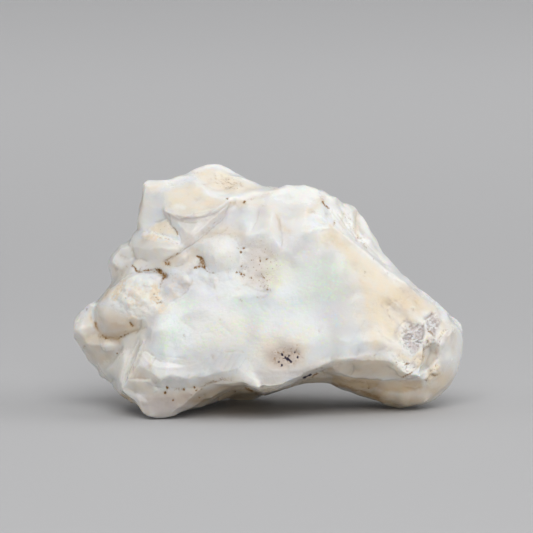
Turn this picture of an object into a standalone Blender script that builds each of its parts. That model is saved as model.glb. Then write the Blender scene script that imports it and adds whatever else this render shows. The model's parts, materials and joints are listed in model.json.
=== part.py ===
"""A rough white opal, one piece of stone standing on three feet.

The stone is drawn as it is seen facing its broad broken face: across (x), up (z) and out towards the
viewer (d), in millimetres. Its edges are lines of corner points. A cage of triangles is stretched over
them, front and back, rounded by subdivision, chipped, and then stood up on its feet.
"""

import math

import bmesh
import bpy
import numpy as np
from mathutils import Matrix, Vector, noise
from mathutils.geometry import delaunay_2d_cdt

MM = 0.001
LEAN = math.radians(8.0)  # how far the broad face, as drawn, lies back from upright
FINE_LEVELS = 4  # subdivision of the cage before the chips are struck
STONE_TRIANGLES = 9400
FOOT_TRIM = 0.3 * MM  # worn off the three feet, so that each stands on a small flat
FIT_ROUNDS = 8
MOST_FIT = 0.9 * MM  # how far a cage corner may move to make up for the rounding

# ---------------------------------------------------------------- the outline, left tip first, clockwise

OUTLINE = [
    (-39.0, 18.4, 0.0), (-38.2, 20.6, 0.0), (-36.4, 22.8, -1.0), (-35.0, 23.6, -1.0), (-33.0, 24.0, -1.0),
    (-31.8, 25.6, -3.0), (-31.0, 27.4, -4.0), (-31.0, 29.0, -4.0), (-30.6, 32.4, -3.0), (-29.4, 33.8, -3.0),
    (-27.2, 35.8, -3.0), (-26.4, 37.2, -2.0), (-25.4, 38.2, -1.0), (-25.2, 40.8, 0.0), (-24.8, 44.0, 0.0),
    (-24.6, 46.6, -1.0), (-23.4, 48.0, -2.0), (-21.8, 48.4, -2.0), (-19.2, 48.4, -3.0), (-16.2, 49.4, -3.0),
    (-13.2, 50.8, -4.0), (-10.8, 51.2, -5.0), (-8.4, 51.0, -6.0), (-5.8, 49.8, -6.0), (-3.2, 48.2, -5.0),
    (-0.8, 47.0, -3.0), (2.4, 46.6, -2.0), (5.2, 47.0, -1.0), (9.8, 46.6, -2.0), (12.6, 45.2, -4.0),
    (14.0, 44.8, -5.0), (15.4, 43.4, -6.0), (16.8, 43.2, -6.0), (18.2, 42.0, -6.0), (19.6, 39.4, -6.0),
    (21.2, 37.8, -6.0), (22.4, 36.0, -6.0), (23.6, 33.2, -5.0), (25.0, 31.8, -4.0), (26.8, 29.6, -3.0),
    (28.8, 27.4, -2.0), (30.8, 26.2, -2.0), (33.2, 24.4, -2.0), (35.4, 22.4, -3.0), (36.6, 20.8, -3.0),
    (38.4, 19.8, -4.0), (39.0, 18.4, -4.0), (39.2, 15.0, -4.0), (38.6, 11.6, -4.0), (37.2, 8.4, -4.0),
    (35.0, 5.8, -3.0), (32.8, 4.1, -1.0), (30.4, 3.1, -0.5), (27.4, 2.6, -0.6), (24.8, 3.0, -1.0),
    (22.8, 3.6, 0.0), (19.8, 4.6, 0.0), (16.8, 5.8, 0.5), (14.4, 6.4, 1.0), (12.4, 7.2, 1.5),
    (10.0, 7.6, 1.5), (7.4, 7.0, 0.0), (4.8, 6.6, -3.0), (3.2, 5.8, -7.0), (1.2, 5.2, -9.5),
    (-0.8, 4.4, -10.0), (-4.2, 3.6, -10.5), (-7.2, 3.8, -9.5), (-8.4, 4.2, -2.0), (-11.2, 3.2, 3.0),
    (-14.2, 2.0, 8.0), (-17.2, 0.8, 11.5), (-19.6, 0.0, 13.0), (-21.6, -0.3, 13.7), (-23.2, 0.0, 13.7),
    (-24.2, 1.4, 12.8), (-25.1, 2.7, 11.0), (-26.0, 3.0, 7.5), (-27.2, 3.0, 4.5), (-29.0, 4.2, 2.0),
    (-30.2, 5.8, 1.0), (-31.2, 7.0, 0.0), (-32.4, 8.0, 0.0), (-33.4, 8.8, 0.0), (-33.8, 10.2, -1.0),
    (-35.0, 11.4, -1.0), (-36.2, 13.0, -1.0), (-37.4, 14.4, 0.0), (-38.4, 16.0, 0.0),
]

# ---------------------------------------------------------------- front edges: sharpness, then the points

FRONT_LINES = {
    "lower rim": (0.9, [
        (-25.8, 12.0, 15.5), (-24.8, 10.8, 16.6), (-23.2, 11.2, 17.4), (-22.2, 9.6, 18.0), (-20.8, 8.8, 18.4),
        (-18.4, 9.0, 18.6), (-15.4, 8.8, 18.6), (-13.6, 9.6, 18.5), (-12.2, 9.2, 18.4), (-10.4, 9.9, 18.3),
        (-7.8, 9.8, 18.2), (-6.0, 9.1, 18.2), (-4.6, 8.1, 18.2), (-2.6, 6.9, 18.0), (-0.8, 6.5, 17.9),
        (1.6, 6.8, 17.6), (4.0, 7.5, 17.4), (6.2, 8.6, 17.0), (8.4, 9.8, 16.6), (11.0, 11.2, 16.0),
        (13.0, 12.0, 15.6), (15.6, 12.2, 15.1), (17.0, 12.6, 14.8), (19.4, 12.4, 14.3), (21.8, 12.4, 13.7),
        (23.4, 12.0, 13.3), (25.2, 11.3, 12.8), (26.4, 10.2, 12.4), (27.8, 9.4, 12.0), (29.0, 9.6, 11.5),
        (30.2, 8.6, 11.0)]),
    "ragged end": (0.7, [
        (30.2, 8.6, 11.0), (31.0, 11.2, 10.2), (31.4, 13.4, 9.6), (31.5, 15.4, 9.0), (32.2, 16.8, 8.4)]),
    "hollow by the ragged end": (0.2, [(31.6, 10.2, 7.4), (32.4, 12.6, 7.0), (32.8, 15.0, 7.2)]),
    "hollow's far lip": (0.4, [
        (32.6, 8.6, 6.2), (33.8, 11.4, 6.6), (34.4, 13.8, 6.6), (35.6, 16.2, 5.6), (36.8, 18.2, 3.6)]),
    "band under the rim": (0.3, [
        (12.8, 10.0, 12.4), (15.8, 8.2, 9.8), (17.6, 8.6, 9.4), (22.8, 8.2, 9.2), (27.0, 8.1, 8.8),
        (30.0, 7.8, 7.8)]),
    "valley under the rim": (0.4, [
        (-25.6, 8.2, 15.0), (-22.8, 7.8, 16.2), (-21.2, 6.6, 16.4), (-19.6, 6.4, 16.6), (-16.2, 6.4, 16.6),
        (-13.4, 6.9, 16.8), (-10.2, 7.9, 17.1), (-7.2, 8.3, 17.5), (-4.6, 8.1, 18.2)]),
    "foot's right ridge": (0.6, [
        (-4.6, 8.1, 18.2), (-8.6, 7.4, 16.8), (-12.6, 6.2, 16.2), (-15.2, 4.4, 15.6), (-17.4, 2.6, 15.0),
        (-18.8, 1.0, 14.3)]),
    "foot's left ridge": (0.6, [
        (-27.0, 8.8, 14.2), (-28.6, 6.4, 12.0), (-26.8, 4.7, 12.8), (-25.3, 3.2, 13.0), (-24.2, 1.4, 12.8)]),
    "foot's front facet": (0.5, [(-26.0, 5.9, 14.0), (-24.6, 4.3, 14.6), (-23.2, 3.6, 15.0)]),
    "slab's left edge": (0.7, [
        (-21.6, 21.4, 16.0), (-23.4, 17.4, 16.2), (-24.4, 14.6, 15.9), (-25.8, 12.0, 15.5), (-27.0, 8.8, 14.2)]),
    "slab's inner edge": (0.4, [(-21.6, 21.4, 16.0), (-22.4, 18.0, 16.9), (-22.8, 14.2, 17.1)]),
    "fluted hollow": (0.2, [
        (-25.2, 18.2, 13.0), (-27.0, 15.0, 11.8), (-28.4, 11.5, 10.8), (-28.6, 6.4, 12.0)]),
    "lobe's inner side": (0.3, [
        (-28.2, 16.4, 10.5), (-29.4, 13.6, 8.6), (-31.2, 11.6, 6.4), (-32.0, 10.0, 4.6), (-32.4, 8.0, 0.0)]),
    "crease under the ball": (0.7, [
        (-34.0, 19.8, 5.2), (-33.6, 18.0, 6.8), (-32.0, 16.8, 8.5), (-30.0, 16.4, 9.8), (-28.2, 16.4, 10.5),
        (-26.4, 17.6, 12.2), (-25.2, 18.2, 13.0)]),
    "lump's lower edge": (0.5, [
        (-33.0, 24.0, -1.0), (-32.0, 23.9, 5.6), (-30.4, 22.6, 10.0), (-28.2, 21.6, 12.2), (-26.6, 20.8, 13.6),
        (-25.0, 20.6, 14.4), (-23.2, 21.2, 15.2), (-21.6, 21.4, 16.0)]),
    "lump's top edge": (0.6, [
        (-32.0, 23.9, 5.6), (-30.8, 25.6, 7.4), (-29.2, 27.0, 8.8), (-27.2, 28.4, 10.0), (-25.2, 29.2, 10.6),
        (-23.2, 29.4, 11.0), (-21.6, 29.2, 11.4), (-20.9, 27.8, 12.0)]),
    "crack over the lump": (0.7, [
        (-31.4, 26.2, 2.5), (-29.6, 28.0, 4.8), (-27.6, 29.3, 6.2), (-25.4, 29.9, 7.6), (-23.2, 30.0, 8.8),
        (-21.6, 30.0, 9.6), (-20.2, 29.2, 10.6), (-19.6, 28.2, 11.8)]),
    "block's foot": (0.5, [(-26.4, 30.6, 6.0), (-25.0, 30.6, 7.4), (-22.6, 30.8, 8.8), (-20.6, 31.4, 9.6)]),
    "diagonal valley": (0.6, [
        (-20.2, 29.2, 10.6), (-20.6, 31.4, 9.6), (-18.8, 32.8, 10.3), (-17.2, 34.0, 10.5), (-15.2, 35.4, 10.5),
        (-13.2, 36.8, 10.3), (-11.2, 38.4, 9.9), (-9.2, 40.0, 9.3), (-7.6, 42.0, 8.2), (-6.8, 43.4, 7.2)]),
    "block's top edge": (0.5, [
        (-25.2, 36.6, 3.0), (-23.8, 37.4, 5.0), (-22.2, 37.4, 6.4), (-20.2, 36.8, 7.6), (-18.2, 36.4, 8.6),
        (-17.0, 35.6, 9.6)]),
    "block's left edge": (0.3, [
        (-25.2, 36.6, 3.0), (-25.8, 33.5, 4.0), (-26.4, 31.8, 4.2), (-27.9, 30.2, 3.4)]),
    "shelf's back": (0.4, [(-24.4, 38.6, 3.2), (-22.0, 39.4, 4.8), (-20.0, 40.2, 5.6)]),
    "split under the lip": (0.7, [
        (-20.2, 41.2, 6.0), (-19.6, 40.0, 6.2), (-18.6, 38.8, 6.6), (-17.8, 37.6, 7.2), (-17.4, 36.8, 7.8)]),
    "lip": (0.55, [
        (-20.2, 41.9, 6.8), (-18.6, 41.3, 8.2), (-16.4, 40.9, 9.1), (-14.6, 40.8, 9.5), (-12.4, 41.0, 9.7),
        (-10.6, 41.6, 9.5), (-8.8, 42.8, 8.9), (-7.4, 43.7, 8.0)]),
    "under the lip": (0.2, [
        (-18.4, 40.1, 7.6), (-16.2, 39.7, 8.7), (-14.2, 39.6, 9.2), (-11.8, 39.9, 9.6), (-9.6, 41.4, 9.0)]),
    "top-left corner": (0.4, [(-23.6, 46.4, 1.6), (-23.8, 43.5, 2.6), (-24.2, 40.0, 2.8)]),
    "white ridge": (0.7, [
        (-16.8, 48.0, 0.2), (-14.2, 47.2, 2.6), (-12.4, 46.4, 4.6), (-11.6, 45.2, 6.0), (-9.6, 44.4, 7.2),
        (-7.0, 44.2, 7.5), (-5.2, 44.4, 7.1), (-3.2, 44.8, 6.4), (-0.8, 45.4, 5.2), (1.8, 46.0, 3.4),
        (3.6, 46.4, 1.0)]),
    "crest": (1.0, [
        (10.8, 44.4, 3.4), (12.0, 42.6, 5.0), (13.0, 40.4, 6.4), (13.6, 38.8, 7.6), (15.2, 37.0, 7.8),
        (16.8, 35.6, 7.8), (18.8, 34.6, 7.4), (20.4, 33.4, 7.2), (22.0, 31.6, 6.8), (24.4, 29.6, 6.2),
        (26.8, 27.6, 5.4), (28.8, 25.8, 4.8), (30.8, 24.4, 4.0), (32.8, 22.8, 3.2), (34.8, 20.8, 2.4),
        (36.0, 19.4, 1.8)]),
    "upper right facet": (0.5, [(10.8, 44.4, 3.4), (9.4, 42.2, 7.2), (7.8, 41.0, 9.2)]),
    "pale facet's top": (0.6, [(7.8, 41.0, 9.2), (10.8, 40.6, 8.4), (13.0, 40.4, 6.4)]),
    "pale facet's foot": (0.7, [(3.8, 37.4, 11.2), (6.8, 37.6, 11.2), (9.8, 38.2, 10.4), (13.6, 38.8, 7.6)]),
    "arrowhead's left": (0.6, [(0.4, 42.6, 9.0), (-1.6, 38.4, 11.6), (-3.2, 36.4, 12.2)]),
    "arrowhead's right": (0.7, [(0.4, 42.6, 9.0), (2.2, 41.0, 9.4), (2.8, 38.0, 10.6), (3.8, 37.4, 11.2)]),
    "turn to the cream plane": (0.0, [
        (11.2, 34.8, 10.4), (13.8, 33.0, 10.8), (16.2, 30.0, 11.4), (17.8, 26.0, 11.8), (18.8, 22.0, 12.8),
        (20.0, 18.0, 13.6), (21.8, 16.4, 13.4), (24.4, 15.8, 12.8)]),
}

FRONT_POINTS = {
    "left lobe": [
        (-37.0, 18.0, 4.0), (-36.0, 15.5, 4.5), (-36.0, 20.5, 3.5), (-34.4, 22.4, 2.8), (-34.8, 13.0, 3.0),
        (-34.6, 17.2, 5.4), (-31.6, 14.8, 8.4), (-30.6, 12.8, 7.6), (-33.4, 12.6, 4.8)],
    "ball": [
        (-33.4, 21.6, 6.6), (-32.4, 19.4, 9.4), (-31.6, 21.8, 9.6), (-29.8, 18.6, 11.4), (-30.0, 20.6, 11.6),
        (-27.6, 19.6, 12.8), (-25.6, 19.6, 13.8)],
    "behind the flutes": [(-30.2, 9.6, 6.8), (-30.0, 6.8, 5.4), (-28.0, 5.0, 6.6), (-26.6, 4.2, 8.6)],
    "flutes": [(-26.4, 12.0, 13.6), (-24.8, 16.2, 14.8), (-27.6, 8.6, 12.8)],
    "foot": [(-24.6, 7.0, 15.2), (-22.0, 4.6, 15.6), (-19.6, 3.4, 15.6), (-21.6, 1.6, 14.6), (-17.6, 5.0, 16.2)],
    "foot's right flank": [(-7.0, 6.6, 12.0), (-11.0, 5.0, 12.0), (-4.2, 6.6, 9.0), (-8.4, 5.2, 6.0)],
    "underside": [(-2.0, 6.3, 6.0), (2.4, 6.5, 5.0), (1.0, 6.4, 12.0), (5.4, 7.6, 10.0), (9.6, 9.0, 10.0)],
    "back foot's face": [(-5.2, 4.9, -8.0), (-2.0, 5.8, -6.8), (1.2, 6.0, -6.4)],
    "right foot": [
        (13.6, 7.8, 4.0), (18.4, 6.4, 6.0), (23.2, 5.2, 6.4), (28.0, 4.8, 5.6), (32.0, 5.6, 4.0), (11.4, 8.6, 6.0)],
    "right end": [(36.4, 14.4, 3.0), (36.6, 11.0, 2.4), (35.4, 8.0, 2.4), (37.8, 17.6, 0.6), (33.4, 6.4, 3.6)],
    "main face": [
        (-17.0, 18.0, 17.2), (-19.0, 13.0, 18.0), (-12.0, 13.6, 18.4), (-5.0, 13.0, 18.4), (2.0, 12.0, 18.0),
        (9.0, 15.0, 16.8), (15.0, 16.0, 15.2), (-11.0, 20.0, 17.2), (-3.0, 20.0, 16.8), (5.0, 20.5, 15.8),
        (12.0, 22.0, 14.2), (-9.0, 25.6, 15.4), (-1.0, 26.5, 14.8), (7.0, 27.5, 13.6), (13.0, 28.0, 12.4),
        (-3.0, 31.0, 13.6), (3.0, 32.5, 12.8), (9.0, 33.0, 11.8), (-14.0, 24.4, 15.4), (8.0, 36.0, 11.4)],
    "frosted lump": [(-29.2, 24.4, 11.0), (-26.6, 25.0, 12.8), (-23.6, 25.6, 13.4), (-21.4, 24.2, 14.4)],
    "frosted bumps": [
        (-19.0, 29.6, 11.4), (-17.0, 29.4, 12.6), (-15.2, 27.6, 13.6), (-18.2, 26.4, 13.8), (-16.4, 23.4, 15.2),
        (-13.4, 28.6, 13.4)],
    "left side": [(-28.6, 31.8, 0.8), (-29.4, 30.0, 0.6), (-27.2, 34.4, 0.6), (-26.4, 35.6, 1.2)],
    "block": [(-23.2, 34.4, 7.6), (-20.4, 34.6, 9.6), (-22.0, 32.4, 9.2), (-24.8, 32.6, 6.0)],
    "top-left face": [(-20.5, 45.6, 3.4), (-21.2, 42.2, 5.0), (-17.0, 46.0, 4.2), (-13.6, 45.0, 5.8)],
    "scoop over the lip": [(-18.2, 42.8, 7.0), (-15.4, 43.0, 7.7), (-12.4, 43.2, 8.1), (-9.8, 43.6, 8.0)],
    "column": [(-16.8, 38.4, 9.2), (-16.2, 36.8, 9.9), (-14.6, 38.0, 10.1), (-12.4, 38.6, 10.0)],
    "sandy pocket": [
        (-12.4, 49.2, -1.6), (-9.2, 48.2, -0.2), (-6.4, 47.2, 1.6), (-3.6, 46.4, 2.6), (-8.6, 46.0, 4.2),
        (-11.8, 47.6, 1.0)],
    "dome's surround": [
        (-12.6, 35.2, 11.4), (-10.6, 36.8, 11.2), (-7.8, 37.2, 11.2), (-5.8, 35.6, 12.2), (-5.2, 32.8, 13.0),
        (-6.8, 29.8, 13.8), (-10.2, 29.2, 13.8), (-12.2, 31.0, 12.6), (-12.8, 33.2, 11.8)],
    "dome": [(-10.8, 34.4, 13.2), (-7.6, 34.8, 13.2), (-7.2, 31.8, 13.9), (-10.2, 31.6, 13.9), (-9.0, 33.0, 14.0)],
    "beside the dome": [(-16.0, 31.6, 11.6), (-14.6, 33.4, 11.0), (-17.6, 31.0, 11.0), (-14.8, 29.8, 12.4)],
    "upper middle": [
        (-4.0, 41.0, 10.0), (-7.0, 39.6, 10.2), (-4.0, 38.4, 11.6), (0.6, 38.6, 12.2), (-2.6, 43.0, 8.6),
        (3.2, 44.2, 5.8), (6.4, 43.6, 6.0), (5.4, 40.4, 9.6), (9.0, 45.4, 2.4), (9.8, 39.4, 9.2)],
    "behind the crest": [
        (13.0, 43.8, 0.6), (14.8, 41.6, 1.4), (16.6, 39.6, 1.6), (18.6, 37.4, 1.6), (21.0, 34.6, 1.6),
        (23.6, 31.6, 1.4), (16.6, 41.8, -1.6), (19.2, 39.0, -1.6)],
    "cream plane": [(17.6, 33.4, 9.2), (20.6, 29.4, 9.4), (24.0, 25.0, 9.2), (27.4, 21.6, 8.6), (22.6, 21.0, 11.0)],
    "ragged patch": [(28.4, 16.6, 10.4), (30.4, 19.6, 7.8), (33.4, 19.0, 6.0), (27.0, 13.0, 12.0), (24.6, 13.6, 13.0),
        (33.8, 16.6, 7.4)],
}

# ---------------------------------------------------------------- back edges and points

BACK_LINES = {
    "back crest": (0.5, [
        (-20.0, 43.0, -9.0), (-13.0, 41.0, -14.0), (-5.0, 37.5, -17.5), (3.0, 33.0, -19.5), (10.0, 28.0, -19.0),
        (18.0, 23.0, -16.5), (26.0, 19.0, -13.5), (33.0, 16.0, -10.0)]),
    "back left rib": (0.4, [
        (-13.0, 41.0, -14.0), (-17.0, 33.0, -15.5), (-20.0, 25.0, -16.0), (-19.0, 16.0, -15.5),
        (-15.0, 9.0, -14.5), (-9.0, 5.4, -14.0)]),
    "back middle rib": (0.4, [
        (3.0, 33.0, -19.5), (1.0, 24.0, -20.5), (-1.0, 15.0, -19.0), (-2.4, 8.0, -16.0), (-3.4, 4.8, -13.0)]),
    "back right rib": (0.4, [
        (18.0, 23.0, -16.5), (17.0, 15.0, -16.0), (20.0, 9.0, -13.0), (25.0, 5.0, -8.5)]),
    "back of the lobe": (0.3, [(-20.0, 25.0, -16.0), (-27.0, 21.0, -11.0), (-33.0, 18.5, -6.5)]),
}

BACK_POINTS = {
    "upper back": [
        (-22.0, 44.5, -6.0), (-10.0, 47.0, -10.5), (-3.0, 44.0, -11.5), (4.0, 42.0, -11.0), (10.0, 41.0, -11.5),
        (16.0, 37.0, -12.0), (20.0, 32.0, -12.0), (25.0, 26.5, -9.5), (31.0, 21.5, -8.5), (-16.0, 46.0, -8.5)],
    "left back": [
        (-26.0, 34.0, -9.0), (-27.5, 28.0, -10.0), (-23.0, 38.5, -9.0), (-31.0, 22.0, -7.0), (-8.0, 28.0, -17.5)],
    "lower back": [
        (-10.0, 17.0, -16.5), (9.0, 20.0, -18.0), (8.0, 11.6, -15.0), (9.6, 9.2, -9.0), (14.0, 9.6, -10.0),
        (28.0, 11.0, -11.0), (34.0, 11.0, -8.5), (30.0, 6.4, -6.5), (26.5, 3.4, -4.0)],
    "lower left back": [
        (-28.0, 13.0, -8.0), (-34.0, 14.0, -5.0), (-24.0, 8.0, -8.5), (-28.5, 7.5, -4.0), (-24.0, 3.6, 1.0),
        (-20.0, 3.2, 3.0), (-17.0, 4.4, -5.0), (-12.0, 4.4, -8.0), (-20.0, 1.6, 9.5)],
}

# ---------------------------------------------------------------- marks struck on the front, across and up, in mm

LUMPS = [  # across, up, radius, height (a pit when negative)
    (-28.8, 24.6, 1.3, 0.35), (-27.0, 23.2, 1.4, 0.50), (-25.8, 25.4, 1.2, 0.40), (-27.8, 26.4, 1.2, 0.30),
    (-24.0, 23.8, 1.4, 0.40), (-23.2, 27.2, 1.3, 0.45), (-25.4, 28.0, 1.1, 0.30), (-21.9, 22.6, 1.2, 0.30),
    (-19.2, 27.0, 1.5, 0.45), (-15.8, 27.8, 1.3, 0.60), (-17.6, 24.8, 1.3, 0.35), (-30.6, 23.2, 1.2, 0.30),
    (-20.4, 24.8, 1.0, -0.30), (-26.6, 19.2, 0.8, -0.35), (-12.8, 31.5, 1.3, -0.60), (-20.2, 29.1, 1.1, -0.50),
    (-31.8, 14.8, 1.5, 0.55), (-34.8, 15.2, 2.0, 0.50), (-36.2, 18.6, 2.0, 0.40), (-35.0, 20.6, 1.6, -0.40),
    (0.4, 26.8, 1.5, 0.30), (3.6, 13.2, 2.4, -0.45), (6.0, 13.8, 1.2, -0.45), (33.2, 9.8, 1.5, 0.80),
    (32.0, 7.6, 1.3, 0.50), (-5.0, 29.6, 1.2, -0.40), (-11.0, 14.0, 1.0, -0.25), (-8.4, 42.4, 1.6, -0.30),
    (-7.8, 47.2, 2.6, -0.50), (-4.6, 46.6, 1.6, -0.35), (12.4, 41.4, 1.2, -0.40), (18.2, 36.4, 1.0, -0.50),
    (-2.0, 33.0, 1.6, 0.25), (-0.6, 30.4, 1.3, 0.25), (-1.4, 28.4, 1.0, -0.25), (16.6, 38.8, 1.4, 0.45),
    (20.0, 35.6, 1.6, 0.40), (23.0, 33.0, 1.4, 0.35), (35.0, 17.6, 1.3, 0.40), (36.6, 12.6, 2.2, 0.40),
    (34.0, 12.6, 1.6, -0.50), (-28.8, 31.6, 1.2, 0.35), (-27.0, 33.8, 1.0, 0.35), (-20.6, 8.6, 1.2, 0.25),
]

CRACKS = [  # depth, half width, line
    (0.5, 0.55, [(-26.6, 30.4), (-25.0, 30.2), (-23.2, 29.9), (-21.6, 29.9), (-20.4, 29.3), (-19.6, 28.4)]),
    (0.3, 0.45, [(-20.6, 31.2), (-18.2, 32.8), (-16.0, 34.6), (-13.6, 36.6), (-10.8, 38.8), (-8.0, 41.6)]),
    (0.4, 0.40, [(-20.8, 27.4), (-21.0, 25.8), (-20.6, 24.2)]),
    (0.5, 0.40, [(-20.0, 41.2), (-19.2, 39.4), (-18.2, 38.0), (-17.4, 36.8)]),
    (0.4, 0.50, [(-34.0, 19.4), (-33.4, 18.0), (-31.8, 16.7), (-29.6, 16.2), (-27.6, 17.0), (-25.6, 18.0)]),
    (0.4, 0.40, [(-12.6, 31.2), (-11.4, 29.6), (-10.2, 29.2)]),
    (0.35, 0.40, [(-12.6, 36.0), (-10.6, 37.0), (-8.2, 37.4), (-6.4, 36.4)]),
    (0.35, 0.40, [(2.4, 40.4), (2.8, 38.2), (3.4, 37.4), (6.6, 37.6)]),
    (0.3, 0.35, [(-1.4, 42.8), (-2.0, 38.6), (-3.4, 36.6)]),
    (0.3, 0.35, [(-24.4, 13.8), (-22.6, 12.8), (-20.2, 12.0), (-17.8, 11.8)]),
    (0.35, 0.40, [(-25.2, 16.8), (-27.0, 12.0), (-28.4, 6.6)]),
    (0.35, 0.40, [(-23.8, 15.8), (-25.8, 11.8), (-27.0, 9.2)]),
    (0.5, 0.40, [(-30.0, 12.4), (-31.6, 11.0), (-32.4, 9.2)]),
    (0.5, 0.40, [(-29.0, 6.4), (-27.4, 4.6), (-25.8, 3.2)]),
    (0.25, 0.50, [(20.8, 13.2), (22.4, 14.0), (24.6, 14.2)]),
    (0.35, 0.40, [(13.6, 44.0), (15.4, 41.0), (17.0, 37.8), (20.0, 35.2), (23.0, 32.4)]),
    (0.3, 0.35, [(18.2, 42.0), (17.6, 38.6), (18.4, 36.6)]),
    (0.35, 0.40, [(-26.8, 36.4), (-26.0, 33.4), (-26.6, 31.2)]),
    (0.3, 0.35, [(-20.0, 5.6), (-16.2, 6.4), (-12.4, 7.2), (-8.8, 8.2)]),
]

LEDGES = [  # drop on the right hand of the line, how far it takes to recover, line
    (0.25, 2.4, [(-15.6, 26.0), (-13.2, 24.8), (-10.2, 24.4), (-7.6, 25.4)]),
    (0.20, 2.6, [(-11.4, 11.8), (-9.8, 13.6), (-6.4, 14.2), (-4.0, 13.4), (-2.6, 11.6)]),
    (0.50, 2.6, [(25.8, 19.4), (28.4, 20.0), (30.6, 19.0), (31.8, 17.2)]),
    (0.55, 2.4, [(26.2, 16.6), (28.6, 16.4), (30.4, 15.6), (31.6, 14.0)]),
    (0.50, 2.2, [(30.8, 21.4), (33.0, 20.6), (34.6, 18.6), (35.0, 17.2)]),
    (0.35, 2.0, [(22.6, 24.2), (24.6, 23.2), (26.6, 21.6), (28.0, 21.0)]),
    (0.40, 2.0, [(24.8, 13.0), (27.4, 11.8), (28.6, 10.2)]),
    (0.40, 1.8, [(12.8, 9.6), (16.0, 8.4), (22.6, 8.2), (29.0, 8.2)]),
    (0.40, 2.0, [(15.0, 6.9), (18.6, 7.8), (23.0, 7.2), (27.0, 7.2)]),
    (0.35, 2.0, [(-18.6, 30.6), (-16.4, 31.6), (-14.8, 33.4)]),
]

# ---------------------------------------------------------------- how broken the stone is: cell size, depth


BACK_FLAKES = ((14.0, 2.6), (6.5, 1.1), (2.8, 0.40))
FRONT_FLAKES = ((9.0, 0.7), (3.6, 0.30))
GRAIN = (2.4, 0.22)
LEDGE_SOFTNESS = 0.7
CALM = [  # across, up, radius: smooth parts of the front
    (-6.0, 18.0, 15.0), (9.0, 22.0, 14.0), (-8.9, 33.0, 4.6), (-30.4, 20.0, 3.8), (22.0, 24.0, 7.0),
]


def clear_scene():
    for old in list(bpy.data.objects):
        bpy.data.objects.remove(old)


# ---------------------------------------------------------------- the cage


def sheet(lines, points):
    """One side of the stone: its corner points, its triangles, and the sharpness of its edges."""
    corners = list(OUTLINE)
    index = {corner[:2]: i for i, corner in enumerate(corners)}
    loop = [(i, (i + 1) % len(OUTLINE)) for i in range(len(OUTLINE))]
    sharpness = {}
    for sharp, line in lines.values():
        for corner in line:
            if corner[:2] not in index:
                index[corner[:2]] = len(corners)
                corners.append(corner)
        for a, b in zip(line, line[1:]):
            sharpness[tuple(sorted((index[a[:2]], index[b[:2]])))] = sharp
    for group in points.values():
        corners.extend(group)
    flat = [Vector(corner[:2]) for corner in corners]
    inside = 1
    made = delaunay_2d_cdt(flat, loop + list(sharpness), [list(range(len(OUTLINE)))], inside, 1e-5)
    places, triangles, sources = made[0], made[2], made[3]
    if len(places) != len(corners):
        raise ValueError("two edges of a sheet cross, or two points coincide")
    source = [found[0] for found in sources]
    return corners, [[source[i] for i in triangle] for triangle in triangles], sharpness


def cage_mesh():
    """Front and back sheets, sewn along the outline."""
    front, front_faces, front_sharp = sheet(FRONT_LINES, FRONT_POINTS)
    back, back_faces, back_sharp = sheet(BACK_LINES, BACK_POINTS)
    rim = len(OUTLINE)
    shift = len(front) - rim

    def on_back(i):
        return i if i < rim else i + shift

    corners = front + back[rim:]
    faces = front_faces + [[on_back(i) for i in reversed(face)] for face in back_faces]
    sharpness = dict(front_sharp)
    sharpness.update({(on_back(a), on_back(b)): sharp for (a, b), sharp in back_sharp.items()})
    mesh = bpy.data.meshes.new("cage")
    mesh.from_pydata([(x * MM, -d * MM, z * MM) for x, z, d in corners], [], faces)
    front_share = mesh.attributes.new("front", "FLOAT", "POINT")
    front_share.data.foreach_set("value", [1.0 if i < len(front) else 0.0 for i in range(len(corners))])
    crease = mesh.attributes.new("crease_edge", "FLOAT", "EDGE")
    for edge in mesh.edges:
        key = tuple(sorted(edge.vertices))
        crease.data[edge.index].value = sharpness.get(key, 0.0)
    mesh.update()
    return mesh


def points_of(mesh):
    found = np.empty(len(mesh.vertices) * 3)
    mesh.vertices.foreach_get("co", found)
    return found.reshape(-1, 3)


def put_points(mesh, places):
    mesh.vertices.foreach_set("co", np.ascontiguousarray(places, np.float32).ravel())
    mesh.update()


def rounded(cage):
    """The cage subdivided, with its own corners moved out until the rounded surface passes through them."""
    stone = bpy.data.objects.new("opal", cage)
    bpy.context.scene.collection.objects.link(stone)
    smooth = stone.modifiers.new("round", "SUBSURF")
    smooth.levels = smooth.render_levels = 2
    wanted = points_of(cage)
    corners = len(wanted)
    for _ in range(FIT_ROUNDS):
        bpy.context.view_layer.update()
        reached = stone.evaluated_get(bpy.context.evaluated_depsgraph_get()).to_mesh()
        moved = points_of(cage) + 0.8 * (wanted - points_of(reached)[:corners]) - wanted
        far = np.linalg.norm(moved, axis=1, keepdims=True)
        put_points(cage, wanted + moved * np.minimum(1.0, MOST_FIT / np.maximum(far, 1e-9)))
    smooth.levels = smooth.render_levels = FINE_LEVELS
    bake_modifiers(stone)
    return stone


def bake_modifiers(stone):
    """Replaces the stone's mesh by what its modifiers make of it."""
    bpy.context.view_layer.update()
    made = bpy.data.meshes.new_from_object(stone.evaluated_get(bpy.context.evaluated_depsgraph_get()))
    stone.modifiers.clear()
    stone.data = made


# ---------------------------------------------------------------- striking the marks


def normals_of(mesh):
    found = np.empty(len(mesh.vertices) * 3)
    mesh.vertex_normals.foreach_get("vector", found)
    return found.reshape(-1, 3)


def front_share_of(mesh):
    found = np.empty(len(mesh.vertices))
    mesh.attributes["front"].data.foreach_get("value", found)
    return found


def fall_off(away, reach):
    """One at no distance, easing to nothing at the reach."""
    return np.clip(1 - (away / reach) ** 2, 0.0, 1.0) ** 2


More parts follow.
